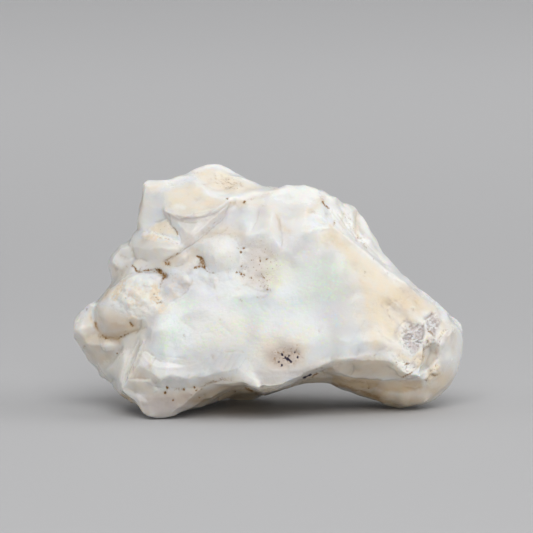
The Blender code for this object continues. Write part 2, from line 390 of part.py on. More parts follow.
def nearest_on_line(flat, line):
    """Distance of each point from a line, the side it lies on, and how much it counts near the line's ends."""
    ends = np.array(line)
    along = np.concatenate([[0.0], np.cumsum(np.linalg.norm(np.diff(ends, axis=0), axis=1))])
    best = np.full(len(flat), np.inf)
    side = np.ones(len(flat))
    share = np.zeros(len(flat))
    for a, b, start, stop in zip(ends, ends[1:], along, along[1:]):
        step = b - a
        t = np.clip(((flat - a) @ step) / (step @ step), 0.0, 1.0)
        off = flat - (a + t[:, None] * step)
        away = np.linalg.norm(off, axis=1)
        closer = away < best
        best = np.where(closer, away, best)
        side = np.where(closer, np.where(step[0] * off[:, 1] - step[1] * off[:, 0] < 0, 1.0, -1.0), side)
        share = np.where(closer, start + t * (stop - start), share)
    middle = 1 - np.abs(2 * share / along[-1] - 1) ** 3
    return best, side, np.clip(middle, 0.0, 1.0)


def dish(place, cell):
    """Zero in the middle of a flake scar, one at the ridges between scars."""
    near = noise.voronoi(place / cell)[0][0]
    return min(near * near * 1.6, 1.0)


def strike_marks(stone):
    mesh = stone.data
    places = points_of(mesh) / MM
    outward = normals_of(mesh)
    share = front_share_of(mesh)
    behind = np.clip((0.45 - share) / 0.45, 0.0, 1.0) * (1 - 0.7 * np.clip(-2 * outward[:, 2] - 1, 0.0, 1.0))
    front = np.clip((share - 0.3) / 0.6, 0.0, 1.0) * np.clip(0.2 - outward[:, 1] * 2.5, 0.0, 1.0)
    flat = places[:, [0, 2]]
    rise = np.zeros(len(places))
    for across, up, radius, height in LUMPS:
        away = np.hypot(flat[:, 0] - across, flat[:, 1] - up)
        rise += height * fall_off(away, radius) * front
    for depth, half, line in CRACKS:
        away, _, middle = nearest_on_line(flat, line)
        rise -= depth * np.clip(1 - away / half, 0.0, 1.0) * middle * front
    for drop, reach, line in LEDGES:
        away, side, middle = nearest_on_line(flat, line)
        past = np.clip(0.5 + side * away / LEDGE_SOFTNESS, 0.0, 1.0)
        rise -= drop * past * fall_off(away, reach) * middle * front
    calm = np.zeros(len(places))
    for across, up, radius in CALM:
        calm = np.maximum(calm, fall_off(np.hypot(flat[:, 0] - across, flat[:, 1] - up), radius) * front)
    rough = 1 - 0.85 * calm
    shift = Vector((31.0, 7.0, 19.0))
    for i, (x, y, z) in enumerate(places):
        place = Vector((x, y, z))
        bend = noise.noise_vector(place / 7.0 + shift) * 1.6
        back = sum(depth * (dish(place + bend, cell) - 0.5) for cell, depth in BACK_FLAKES)
        fore = sum(depth * (dish(place + bend, cell) - 0.5) for cell, depth in FRONT_FLAKES)
        fore += GRAIN[1] * noise.noise(place / GRAIN[0])
        rise[i] += behind[i] * back + 0.35 * (1 - behind[i]) * (1 - front[i]) * back + front[i] * fore * rough[i]
    put_points(mesh, (places + outward * rise[:, None]) * MM)


# ---------------------------------------------------------------- standing it up


FEET = ((-40.0, -12.0, -40.0, -4.0), (12.0, 40.0, -12.0, 12.0), (-14.0, 8.0, 4.0, 24.0))  # x and y windows, mm


def level_feet(stone):
    """Turns the stone until the lowest points of its three feet lie on one level."""
    for _ in range(4):
        places = points_of(stone.data)
        lowest = []
        for x_low, x_high, y_low, y_high in FEET:
            x, y = places[:, 0] / MM, places[:, 1] / MM
            here = places[(x > x_low) & (x < x_high) & (y > y_low) & (y < y_high)]
            lowest.append(Vector(here[here[:, 2].argmin()]))
        up = (lowest[1] - lowest[0]).cross(lowest[2] - lowest[0]).normalized()
        turn = up.rotation_difference(Vector((0, 0, 1)))
        stone.data.transform(turn.to_matrix().to_4x4())


def stand(stone):
    """Leans the stone back to its true stance, feet on the ground, box centred on the origin."""
    stone.data.transform(Matrix.Rotation(-LEAN, 4, "X"))
    level_feet(stone)
    places = points_of(stone.data)
    low, high = places.min(0), places.max(0)
    middle = (low + high) / 2
    stone.data.transform(Matrix.Translation((-middle[0], -middle[1], -low[2])))


def thin_out(stone, triangles):
    """Fewer triangles, kept where the shape turns."""
    shaped = stone.modifiers.new("triangles", "TRIANGULATE")
    bake_modifiers(stone)
    fewer = stone.modifiers.new("fewer", "DECIMATE")
    fewer.ratio = triangles / len(stone.data.polygons)
    bake_modifiers(stone)


def trim_feet(stone):
    """Cuts the three feet to one level, so that each has a small flat face."""
    work = bmesh.new()
    work.from_mesh(stone.data)
    everything = work.verts[:] + work.edges[:] + work.faces[:]
    bmesh.ops.bisect_plane(work, geom=everything, plane_co=(0, 0, FOOT_TRIM), plane_no=(0, 0, -1), clear_outer=True)
    open_edges = [edge for edge in work.edges if edge.is_boundary]
    bmesh.ops.holes_fill(work, edges=open_edges)
    bmesh.ops.triangulate(work, faces=[face for face in work.faces if len(face.verts) > 3])
    bmesh.ops.translate(work, verts=work.verts, vec=(0, 0, -FOOT_TRIM))
    work.to_mesh(stone.data)
    work.free()


def opal_material():
    stuff = bpy.data.materials.new("white opal")
    stuff.use_nodes = True
    shader = stuff.node_tree.nodes["Principled BSDF"]
    shader.inputs["Base Color"].default_value = (0.83, 0.80, 0.75, 1.0)
    shader.inputs["Roughness"].default_value = 0.35
    shader.inputs["Metallic"].default_value = 0.0
    return stuff


def main():
    clear_scene()
    stone = rounded(cage_mesh())
    strike_marks(stone)
    stand(stone)
    thin_out(stone, STONE_TRIANGLES)
    trim_feet(stone)
    stone.data.name = "opal"
    stone.data.materials.append(opal_material())
    stone.data.shade_smooth()
    stone.data.set_sharp_from_angle(angle=math.radians(40))


main()
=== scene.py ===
import json
import math

import bpy
import numpy as np
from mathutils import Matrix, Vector

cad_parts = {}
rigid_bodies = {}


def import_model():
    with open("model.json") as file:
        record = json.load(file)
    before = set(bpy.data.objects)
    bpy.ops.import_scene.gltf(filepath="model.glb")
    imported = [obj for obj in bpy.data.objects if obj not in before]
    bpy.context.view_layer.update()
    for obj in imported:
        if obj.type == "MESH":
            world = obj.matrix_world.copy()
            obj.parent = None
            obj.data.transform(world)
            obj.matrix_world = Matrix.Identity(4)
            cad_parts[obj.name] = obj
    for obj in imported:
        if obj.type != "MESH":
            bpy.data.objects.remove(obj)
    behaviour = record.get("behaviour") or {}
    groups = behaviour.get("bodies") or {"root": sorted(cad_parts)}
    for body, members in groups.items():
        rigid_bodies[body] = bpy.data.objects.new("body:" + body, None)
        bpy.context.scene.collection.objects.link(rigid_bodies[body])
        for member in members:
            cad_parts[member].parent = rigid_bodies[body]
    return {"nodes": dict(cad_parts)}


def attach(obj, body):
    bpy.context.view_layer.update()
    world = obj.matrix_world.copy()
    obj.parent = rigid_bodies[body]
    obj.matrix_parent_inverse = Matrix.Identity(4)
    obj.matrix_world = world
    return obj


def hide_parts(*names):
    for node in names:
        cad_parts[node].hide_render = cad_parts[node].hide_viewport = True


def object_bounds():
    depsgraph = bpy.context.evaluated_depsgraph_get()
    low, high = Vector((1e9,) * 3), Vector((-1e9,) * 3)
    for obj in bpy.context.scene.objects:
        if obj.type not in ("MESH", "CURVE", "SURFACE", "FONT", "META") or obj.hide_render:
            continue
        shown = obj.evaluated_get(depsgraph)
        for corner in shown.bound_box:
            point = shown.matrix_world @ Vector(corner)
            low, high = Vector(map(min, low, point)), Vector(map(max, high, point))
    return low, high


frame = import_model()
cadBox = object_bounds()

# Marks on the stone are laid out on a sheet of squares seen square on from the camera:
# squares across from the left, squares down from the top.
sheet = {
    "square": 0.2,          # mm
    "left": 266.0,          # squares across at the middle of the stone
    "middle": -0.52,        # mm, where that is along x
    "down": 405.9,          # squares down at height nought
}

look = {
    "elevation": 8.0,       # degrees above the table
    "distance": 1.6,        # metres
    "frameWidth": 0.1066,   # metres across at the stone
    "across": -0.00042,     # aim, in the view plane
    "up": 0.02787,
    "sensor": 36.0,         # mm
}

tilt = math.radians(look["elevation"])
towards = np.array([0.0, -math.cos(tilt), math.sin(tilt)])
upwards = np.array([0.0, math.sin(tilt), math.cos(tilt)])


# noise that comes out the same each run, with places and cells in mm

primes = (73856093, 19349663, 83492791)     # these mix a corner's three whole numbers into one
mixer = 1274126177
mostMixed = 0xFFFFFF


def lattice(corner, seed):  # a number from nought to one for each corner
    across, back, up = (corner[:, axis] * primes[axis] for axis in range(3))
    mixed = across ^ back ^ up ^ (seed * 9176 + 77)
    mixed = (mixed ^ (mixed >> 13)) * mixer
    return ((mixed ^ (mixed >> 16)) & mostMixed) / mostMixed


def softNoise(places, cell, seed):
    scaled = places / cell + seed * 17.3
    base = np.floor(scaled)
    part = scaled - base
    part = part * part * (3 - 2 * part)
    base = base.astype(np.int64)
    total = np.zeros(len(places))
    for corner in np.ndindex(2, 2, 2):
        weight = np.prod(np.where(corner, part, 1 - part), axis=1)
        total += weight * lattice(base + np.array(corner), seed)
    return total * 2 - 1


def roughNoise(places, cell, seed, octaves=4, fade=0.55):
    total, strength, whole = 0.0, 1.0, 0.0
    for step in range(octaves):
        total = total + strength * softNoise(places, cell / 2 ** step, seed + step)
        whole += strength
        strength *= fade
    return total / whole


# distance to the nearest and the next centre, a number for each chip, and how far its tilt lifts a place
def chips(places, cell, seed):
    scaled = places / cell + seed * 11.7
    base = np.floor(scaled).astype(np.int64)
    first = np.full(len(places), 9.0)
    second = np.full(len(places), 9.0)
    chip = np.zeros(len(places))
    tilted = np.zeros(len(places))
    for corner in np.ndindex(3, 3, 3):
        spot = base + np.array(corner) - 1
        centre = spot + np.stack([lattice(spot, seed + k) for k in range(3)], axis=1)
        away = np.linalg.norm(scaled - centre, axis=1)
        nearer = away < first
        second = np.where(nearer, first, np.minimum(second, away))
        chip = np.where(nearer, lattice(spot, seed + 9), chip)
        lean = np.stack([lattice(spot, seed + 20 + k) - 0.5 for k in range(3)], axis=1)
        tilted = np.where(nearer, ((scaled - centre) * lean).sum(1), tilted)
        first = np.where(nearer, away, first)
    return first, second, chip, tilted


def smooth(low, high, value):
    share = np.clip((value - low) / (high - low), 0.0, 1.0)
    return share * share * (3 - 2 * share)


def lineDistance(flat, line):  # how far off, on which side, and how far along as a share
    ends = np.array(line, float)
    lengths = np.linalg.norm(np.diff(ends, axis=0), axis=1)
    along = np.concatenate([[0.0], np.cumsum(lengths)])
    best = np.full(len(flat), 1e9)
    side = np.ones(len(flat))
    share = np.zeros(len(flat))
    for k in range(len(ends) - 1):
        step = ends[k + 1] - ends[k]
        t = np.clip(((flat - ends[k]) @ step) / (step @ step), 0.0, 1.0)
        off = flat - (ends[k] + t[:, None] * step)
        away = np.linalg.norm(off, axis=1)
        nearer = away < best
        best = np.where(nearer, away, best)
        side = np.where(nearer, np.sign(step[0] * off[:, 1] - step[1] * off[:, 0]), side)
        share = np.where(nearer, (along[k] + t * lengths[k]) / along[-1], share)
    return best, side, share


def insideOf(flat, outline, soft):  # one inside, nought outside
    ends = np.array(outline, float)
    low, high = ends.min(0) - soft, ends.max(0) + soft
    near = np.where(((flat > low) & (flat < high)).all(1))[0]
    result = np.zeros(len(flat))
    if not len(near):
        return result
    spots = flat[near]
    inside = np.zeros(len(spots), bool)
    for (ax, ay), (bx, by) in zip(ends, np.roll(ends, -1, axis=0)):
        if ay == by:
            continue
        crosses = ((ay > spots[:, 1]) != (by > spots[:, 1])) & (
            spots[:, 0] < (bx - ax) * (spots[:, 1] - ay) / (by - ay) + ax)
        inside ^= crosses
    away = lineDistance(spots, list(outline) + [outline[0]])[0]
    result[near] = smooth(-soft, soft, np.where(inside, away, -away))
    return result


# a table's rows end in semicolons: settings, then places on the sheet as across,down
def rows(text):
    table = []
    for row in text.split(";"):
        words = row.split()
        settings = [float(word) for word in words if "," not in word]
        table.append((*settings, [tuple(map(float, word.split(","))) for word in words if "," in word]))
    return table


def tables(texts):
    return {name: rows(text) for name, text in texts.items()}


# where the stone changes: strength, softness in squares, outline
zones = tables({
    # the row at 220,396 is painted light: cream brightens the shaded lump under the back of the stone
    "cream": """
    1 1.2 390,358 400,353 409,358 421,349 424,360 414,370 403,376 395,370;
    0.9 1.2 425,374 430,367 436,363 440,366 438,373 432,377 427,383;
    1 2 220,396 232,390 250,387 262,392 252,402 232,405 220,402;
    0.95 5 332,229 342,238 352,247 364,255 376,264 388,277 400,283 412,290 424,300 434,308 438,315
        424,312 420,320 408,324 398,330 394,342 400,352 410,356 416,360 408,366 398,362 392,354 384,347
        372,351 366,340 366,322 361,306 357,290 354,272 345,256 332,248 320,245 319,236;
    0.45 9 318,236 336,230 362,262 376,300 384,345 364,350 352,320 346,285 338,256;
    0.9 3 192,172 204,169 216,170 230,176 244,181 254,184 264,188 252,192 240,193 228,193 216,190 206,187
        200,181;
    0.9 3 166,193 176,186 192,182 203,186 207,193 216,197 226,199 231,201 222,206 210,211 200,214 186,215
        173,212 167,208 166,200;
    0.7 3 150,183 160,182 163,188 160,192 150,191;
    0.95 2 148,230 158,223 166,220 170,224 175,231 179,236 165,234 152,233;
    0.95 2 118,285 124,283 127,290 128,296 122,297 118,291;
    0.8 2 127,281 133,280 134,284 128,285;
    0.65 3 136,290 146,289 146,296 138,296;
    0.7 3 139,300 150,302 151,314 140,315 128,313 134,308;
    0.65 3 149,288 162,288 163,297 150,298;
    0.95 3 156,303 165,303 169,311 156,312;
    0.8 1.5 175,292 179,292 179,297 175,297;
    0.7 2 101,300 108,290 115,287 112,293 104,301;
    0.9 1.5 90,304 94,305 92,311 93,318 95,323 91,322 88,314;
    0.6 3 236,200 262,200 268,205 250,208 236,204;
    0.45 7 262,338 280,333 302,336 308,350 305,366 290,372 272,372 257,362 255,350;
    0.45 6 246,384 262,366 300,364 332,356 340,362 300,382 262,390;
    0.4 8 190,320 240,312 256,326 240,345 200,345;
    0.7 2 344,210 352,208 352,236 346,230;
    0.55 4 440,318 450,322 456,334 448,330 441,326;
    0.6 2 422,335 428,334 432,338 432,346 424,347 422,341;
    0.7 2 436,336 440,330 447,328 444,334 438,341;
    0.6 2 424,372 430,366 439,365 440,373 434,377 427,381""",
    # tan rows low on the stone, on its underside, are partly its own stains and partly painted warm shade;
    # the row at 190,399 is painted shade under the overhang
    "tan": """
    0.3 6 334,379 380,382 418,382 440,374 448,382 420,409 396,411 360,398;
    0.95 2.5 98,329 103,333 112,334.5 121,333.5 130,331 139,328 141,331 131,335 124,338 121,343 112,341
        103,341 98,337;
    0.6 5 110,322 122,320 136,321 142,328 126,333 110,333;
    0.45 5 88,330 98,330 103,338 100,348 90,347 84,339;
    0.35 5 90,351 119,352 117,358 107,365 96,364 87,356;
    0.3 5 99,312 112,314 122,322 108,328 99,324;
    0.55 4 200,240 206,233 216,228 226,225 234,230 246,236 238,240 226,234 213,236;
    0.4 6 176,264 180,254 192,246 200,246 202,254 196,262 186,268;
    0.6 3 164,262 170,259 177,255 180,256 180,263 172,267 165,266;
    0.2 5 318,236 332,229 342,239 352,249 344,253 330,250 319,245;
    0.45 2 354,211 359,210 360,222 359,236 356,240 354,228;
    0.17 8 246,244 264,240 276,250 274,280 266,289 250,284;
    0.8 3 262,386 276,388 290,387 312,382 330,384 318,392 280,394 262,392;
    0.45 3 190,384 214,379 244,378 252,384 232,388 206,394 190,398;
    0.25 5 264,344 282,338 300,344 303,362 286,370 268,366;
    0.45 4 112,266 121,268 130,264 132,272 122,282 112,284;
    0.7 3 302,377 316,371 332,363 336,372 346,375 334,384 312,385 292,385;
    0.35 3 330,364 336,359 348,358 372,357 386,360 398,370 412,378 380,378 352,375 332,371;
    0.95 2 332,373 345,375 362,377 381,379 376,386 372,389 358,390 344,388 330,384;
    0.8 2 378,380 404,379 421,379 422,388 402,393 384,391 374,388;
    0.95 3 350,390 372,389 384,392 394,400 402,408 388,405 368,399 354,394;
    0.6 4 386,397 402,393 424,396 436,394 426,403 410,409 396,409;
    0.45 6 420,350 430,345 438,346 438,362 430,368 421,366;
    0.55 5 438,372 452,372 456,380 444,392 432,398 426,390 436,384;
    0.12 4 444,332 456,334 461,344 456,350 446,342;
    0.5 2 244,389 284,388 281,396 256,398 250,402 224,402 222,395 234,392;
    0.8 3 190,399 206,388 222,382 240,381 251,387 240,391 222,399 204,405 194,407;
    0.35 3 131,366 150,366 153,372 155,380 131,378;
    0.15 3 131,379 154,380 158,390 142,392 129,388;
    0.95 2 119,392 128,394 136,401 142,409 138,413 127,408 119,400;
    0.35 4 150,392 166,390 190,389 206,386 200,400 186,408 170,398 152,398;
    0.45 3 200,380 222,374 240,378 246,386 222,380 204,388;
    0.35 6 400,284 424,300 430,310 416,312 398,306 380,308 376,300 390,292""",
    "grey": """
    0.45 8 256,200 300,196 312,216 300,240 264,240 250,224;
    0.45 6 200,246 214,238 232,244 238,260 224,270 206,264;
    0.95 6 98,308 112,306 132,316 144,322 136,332 112,336 98,330;
    0.7 6 120,340 140,334 148,338 138,362 128,384 118,372;
    0.5 4 150,372 186,374 206,378 186,388 160,386;
    0.9 5 334,377 380,381 420,380 440,368 456,366 450,386 420,409 396,411 360,398;
    0.75 3 97,319 99,309 106,304 112,307 120,310 130,316 146,318 151,322 147,328 138,329 124,332 112,333
        102,329 97,324;
    0.7 5 71,334 73,325 80,319 88,315 92,322 97,330 102,337 117,342 121,348 118,357 108,364 98,366 88,358
        78,348;
    0.85 4 98,364 110,360 121,352 127,342 134,335 146,332 150,336 146,346 140,356 134,372 128,388 120,398
        108,386 97,374;
    0.7 3 138,242 150,236 166,238 180,243 186,246 181,250 177,255 168,260 160,267 148,270 138,268 132,262
        134,250;
    0.85 2.5 166,211 176,214 190,217 204,216 218,211 226,205 232,201 231,207 226,213 216,220 206,228
        198,237 188,243 181,241 184,230 182,222 172,221;
    0.45 7 442,322 456,324 462,338 461,358 452,380 436,397 420,404 425,384 440,368 440,345;
    0.9 3 330,364 336,359 348,358 372,357 386,360 398,370 416,378 380,378 352,375 332,371;
    0.8 3 131,378 154,379 160,390 150,393 136,392 128,388;
    0.85 4 137,393 160,391 186,391 204,388 200,400 190,408 172,417 150,420 142,410;
    0.5 5 200,240 206,233 226,226 240,232 242,240 226,236 210,239;
    0.45 5 180,256 192,247 202,247 202,255 196,264 184,268;
    0.35 7 240,236 264,236 282,250 280,284 262,292 240,284;
    0.3 9 262,318 300,312 312,340 306,366 262,366 256,340;
    0.3 5 142,196 150,194 152,216 142,224;
    0.5 3 106,303 112,296 116,300 122,306 128,312 118,309;
    0.5 3 112,252 120,247 133,236 138,238 134,262 126,266 120,258""",
    # the row at 167,213 is a painted shadow: a grey band under the lip of the bowl
    "lilac": """
    0.5 4 262,372 276,371 296,370 306,372 296,379 276,382 262,380;
    0.35 5 98,312 112,308 130,318 138,326 126,332 108,334 98,328;
    0.6 1.2 167,213 176,217 190,219 203,216 214,210 206,219 192,222 178,221 170,218;
    0.35 3 181,222 192,223 206,219 228,207 214,219 200,232 188,242 182,240;
    0.4 8 246,244 264,240 276,250 274,280 266,289 250,284;
    0.9 1.5 403,334 409,325 421,325 423,322 422,341 414,352 404,345;
    0.9 1.2 424,318 431,313 438,316 439,323 434,336 429,328;
    0.75 3 146,394 166,392 190,392 204,392 198,402 180,412 160,418 148,416;
    0.5 3 256,368 276,366 300,366 318,362 310,372 290,380 262,384;
    0.85 4 266,350 280,344 298,345 303,356 297,367 278,368 267,360;
    0.85 2 403,331 412,327 421,325 422,338 420,346 414,352 406,347 402,340;
    0.8 2 423,318 430,314 437,312 439,320 437,330 434,335 430,330 426,323;
    0.7 1.5 402,320 410,319 413,324 408,325 403,323;
    0.6 1.5 424,323 427,330 424,336 421,333 421,326;
    0.6 2 436,338 441,336 439,346 438,354 435,350;
    0.55 2 443,335 448,330 446,338 441,345;
    0.5 2 394,326 399,324 399,332 395,340 391,336;
    0.5 2 411,357 420,352 421,358 414,366 408,366;
    0.45 2.5 402,288 408,286 416,290 418,297 408,297 402,293;
    0.35 3 392,301 400,303 406,312 398,316 390,310;
    0.6 2.5 224,211 232,208 238,210 234,214 227,217 224,216;
    0.35 4 222,210 240,205 246,212 236,224 222,224 216,221;
    0.3 5 150,194 163,195 163,206 152,205;
    0.55 3 149,316 158,312 158,324 153,342 148,338;
    0.25 9 184,296 216,300 262,300 258,314 216,312 186,314;
    0.35 5 246,300 262,312 260,336 250,344 246,320;
    0.42 8 284,236 330,250 346,280 350,330 334,346 320,320 296,292 280,262;
    0.45 4 231,219 240,220 244,230 236,231;
    0.4 4 256,206 266,206 266,216 256,216;
    0.3 5 182,352 214,351 240,354 238,364 200,368 180,366;
    0.4 4 158,280 184,274 196,282 190,296 172,298""",
    # the rows at 256,244 and 296,238 are painted light over shading left by the relief; the rows at 143,233
    # and 141,236 are partly white edge and partly painted glint
    "chalk": """
    0.8 3 154,357 176,359 200,358 204,366 188,374 166,376 154,368;
    0.55 4 256,244 264,236 284,240 290,250 276,254 262,252;
    0.55 6 296,238 312,232 328,236 330,248 314,254 298,250;
    0.9 1 143,233 152,230.5 168,236 181,241 180,245 166,240.5 150,236.5 144,237;
    0.8 3 110,300 122,286 140,277 160,279 162,300 150,314 128,312;
    0.6 4 98,364 121,352 134,345 130,385 120,396 106,384;
    0.95 2.5 76,322 82,312 90,303 104,299 101,303 93,307 87,314 81,320;
    0.9 3 143,189 151,179 166,177 180,173 194,166 214,162 232,166 244,173 260,184 246,181 232,174 216,168
        204,168 190,174 176,183 164,184 152,182;
    0.95 2.5 196,182 203,184 207,189 216,192 230,195 246,194 264,189 280,186 270,192 256,198 240,200
        222,199 208,195 203,188;
    0.85 4 272,190 284,186 300,184 317,186 320,196 310,205 286,204 272,198;
    0.95 2.5 332,225 344,235 360,247 376,260 390,275 402,280 416,286 432,297 446,311 456,320 462,324
        446,306 428,290 404,272 386,250 376,228 360,210 350,200 328,190 320,192 326,206;
    0.9 3 238,368 250,364 262,370 280,372 296,368 310,368 300,377 284,382 262,386 252,384 244,378;
    0.7 2.5 139,356 144,350 156,357 170,362 196,368 218,368 206,373 182,376 166,376 156,368 148,364;
    0.9 2.5 334,356 350,353 370,354 384,351 393,354 399,360 411,360 418,366 418,376 411,372 404,374
        398,372 392,362 382,358 366,357 348,358 336,359;
    0.85 2 109,298 114,289 121,282 130,276 140,273 140,277 130,281 122,288 115,296 111,301;
    0.9 2 184,275 188,275 192,282 191,290 187,288 184,281;
    0.6 3 102,343 110,341 117,344 116,349 104,350;
    0.9 2 141,236 147,231 158,234 172,238 180,242 178,244 164,240 148,237;
    0.75 3 185,222 194,220 206,222 204,227 194,233 186,236;
    0.6 6 206,243 216,237 230,238 236,250 234,264 218,270 206,262;
    0.8 1.5 172,207 178,204 186,206 185,210 176,209;
    0.55 5 374,326 381,335 390,341 396,343 392,350 380,346 372,338;
    0.6 3 304,213 320,215 332,226 318,229 306,232 300,226;
    0.6 2 138,393 146,395 152,402 146,403 141,399;
    0.45 8 160,312 200,300 240,316 250,345 210,350 160,345;
    0.7 1.5 436,356 441,352 441,357 437,360;
    0.55 2 424,397 428,397 428,401 423,402;
    0.6 2.5 408,306 414,312 421,322 416,320 408,314 404,308""",
    "frost": """
    0.35 5 205,240 216,236 232,238 240,252 234,268 220,272 208,262;
    0.95 3 106,302 112,295 120,284 131,277 141,274 158,273 164,279 163,300 169,311 158,316 137,318
        128,314 118,309;
    0.7 4 164,281 172,272 184,272 193,281 190,293 182,300 168,305;
    0.5 4 196,272 222,272 238,274 236,284 214,286 200,280;
    0.32 9 240,242 262,240 276,250 276,276 262,290 246,284;
    0.35 5 272,350 282,345 300,346 302,362 290,370 276,368;
    0.45 2 142,235 150,232 180,242 178,246 150,240;
    0.6 2 424,373 430,366 439,365 440,374 434,378 427,382""",
    "dark": """
    0.62 0.7 198.5,256 201.5,256.5 205,261 206.5,268.5 203.5,269 201,265;
    0.55 0.7 165,262 167.5,261.5 171.5,264.5 170,266.5 166.5,265""",
    # the row at 262,386, along the underside, is partly painted warm shade
    "brown": """
    0.45 1 195,267.5 200,264.5 203,268 198,269.5;
    0.3 2.5 268,352 276,346 284,349 293,345 299,350 298,359 288,361 282,367 272,362;
    0.35 3 262,386 276,388 290,387 312,382 330,384 318,392 280,394 262,392""",
    "green": """
    0.34 6 292,268 310,262 330,256 342,268 344,290 322,312 302,316 290,300;
    0.32 5 162,318 178,316 188,328 180,340 164,340;
    0.28 5 226,296 250,294 264,304 262,320 240,318;
    0.35 4 180,298 192,296 204,300 196,308 182,310""",
    "lime": """
    0.45 5 266,262 284,258 294,268 290,282 270,284;
    0.25 6 300,290 318,284 322,304 308,310""",
    "violet": """
    0.35 6 284,268 300,282 330,300 340,318 320,322 296,306;
    0.3 6 196,284 216,288 222,306 202,310 190,300""",
    "flake": """
    1 1.5 113,300 112,293 119,284 127,279 129,283 124,289 120,296 117,302;
    1 1.5 152,285 158,282 162,288 163,300 168,309 160,314 156,306 150,300;
    0.9 1.2 126,312 134,315 141,316 139,319 131,319 125,316;
    0.6 3 130,284 148,283 150,296 144,308 130,308 124,298;
    0.5 4 166,284 180,276 192,282 184,296 170,300;
    0.9 1.5 142,236 152,234 168,238 178,243 170,243 150,240;
    0.7 1.5 426,376 430,367 437,364 438,373 432,378""",
    "ragged": """
    0.4 1 143,233 152,230.5 168,236 181,241 180,245 166,240.5 150,236.5 144,237;
    0.35 2 388,356 398,350 410,354 420,350 416,358 404,362 394,364;
    0.75 2 396,340 402,326 412,321 424,321 423,340 415,354 404,349;
    0.75 1.5 424,320 431,312 438,314 440,324 435,338 428,331;
    0.9 1 423,343 426.5,336 434,339 430,345 424,347;
    0.8 1 394,363 400,358 408,361 421,352 422,359 413,368 403,373 396,368;
    0.8 0.8 428,367 434,364 438,366 438,372 430,376;
    0.7 0.6 424,376 428,374 427,381 424,381;
    0.7 0.8 437,336 442,329 449,327 446,332 440,338 438,348 436,346;
    0.5 1 397,333 404,328 403,334 398,340;
    0.45 1.5 404,345 414,353 420,350 412,358 404,352""",
    "fire": """
    1 10 158,318 178,300 206,290 250,292 284,250 330,240 346,262 350,320 330,352 300,340 262,350 214,362
        176,366 154,350;
    0.6 6 232,206 262,206 280,234 256,240 238,232;
    0.6 4 160,370 180,366 196,372 180,384 164,380;
    0.5 4 150,400 176,400 180,414 156,417""",
    "specks": """
    0.7 3 338,207 350,211 362,232 372,250 362,250 350,238 340,224;
    1 4 246,244 260,240 274,250 280,264 274,280 268,291 250,286 243,276;
    1 2 272,350 282,346 300,347 301,360 290,366 274,365;
    0.9 3 212,180 218,175 234,179 243,184 240,190 224,190 214,186;
    0.6 3 164,270 176,268 184,272 180,280 168,278;
    0.7 3 152,290 162,287 168,294 166,305 156,304;
    0.45 3 322,197 336,210 352,222 366,238 368,250 352,238 336,222;
    0.35 5 190,169 204,170 206,178 192,176;
    0.5 3 148,229 166,222 176,234 160,234;
    0.4 2 99,333 118,335 122,341 102,340;
    0.3 6 196,240 226,228 240,240 236,276 206,276 182,262;
    0.35 3 115,262 130,262 128,280 116,284""",
})

# where the stone is smoothed before its relief is cut, in the same way
zones["calm"] = rows("""
    1 4 70,330 78,314 90,306 96,320 100,338 119,343 120,357 108,368 94,366;
    1 4 97,312 108,300 128,314 140,320 130,332 112,334 98,327;
    1 5 300,374 350,381 420,381 440,374 448,392 420,412 390,410 350,400 320,390;
    0.9 4 440,345 462,345 462,370 447,386 436,368;
    0.9 8 165,310 200,294 250,300 262,340 240,358 190,354 160,345;
    0.9 8 262,300 300,262 330,250 352,290 346,340 310,345 270,335;
    1 5 254,200 300,196 312,222 300,242 262,240 250,224;
    1 3 138,264 150,262 160,262 172,266 176,280 166,286 154,280 138,277;
    1 3 192,252 204,250 212,258 218,276 204,278 190,272;
    1 3 258,352 286,350 300,362 304,374 290,380 268,381 256,374;
    0.8 4 162,258 178,246 200,228 222,208 236,198 240,208 214,232 190,252 172,268;
    0.6 4 166,196 190,190 220,196 236,202 218,218 190,222 168,214;
    0.7 4 98,320 110,330 130,326 146,320 150,332 130,342 104,346 94,334;
    0.6 4 412,310 436,306 450,322 444,350 430,372 404,376 392,350 396,326""")

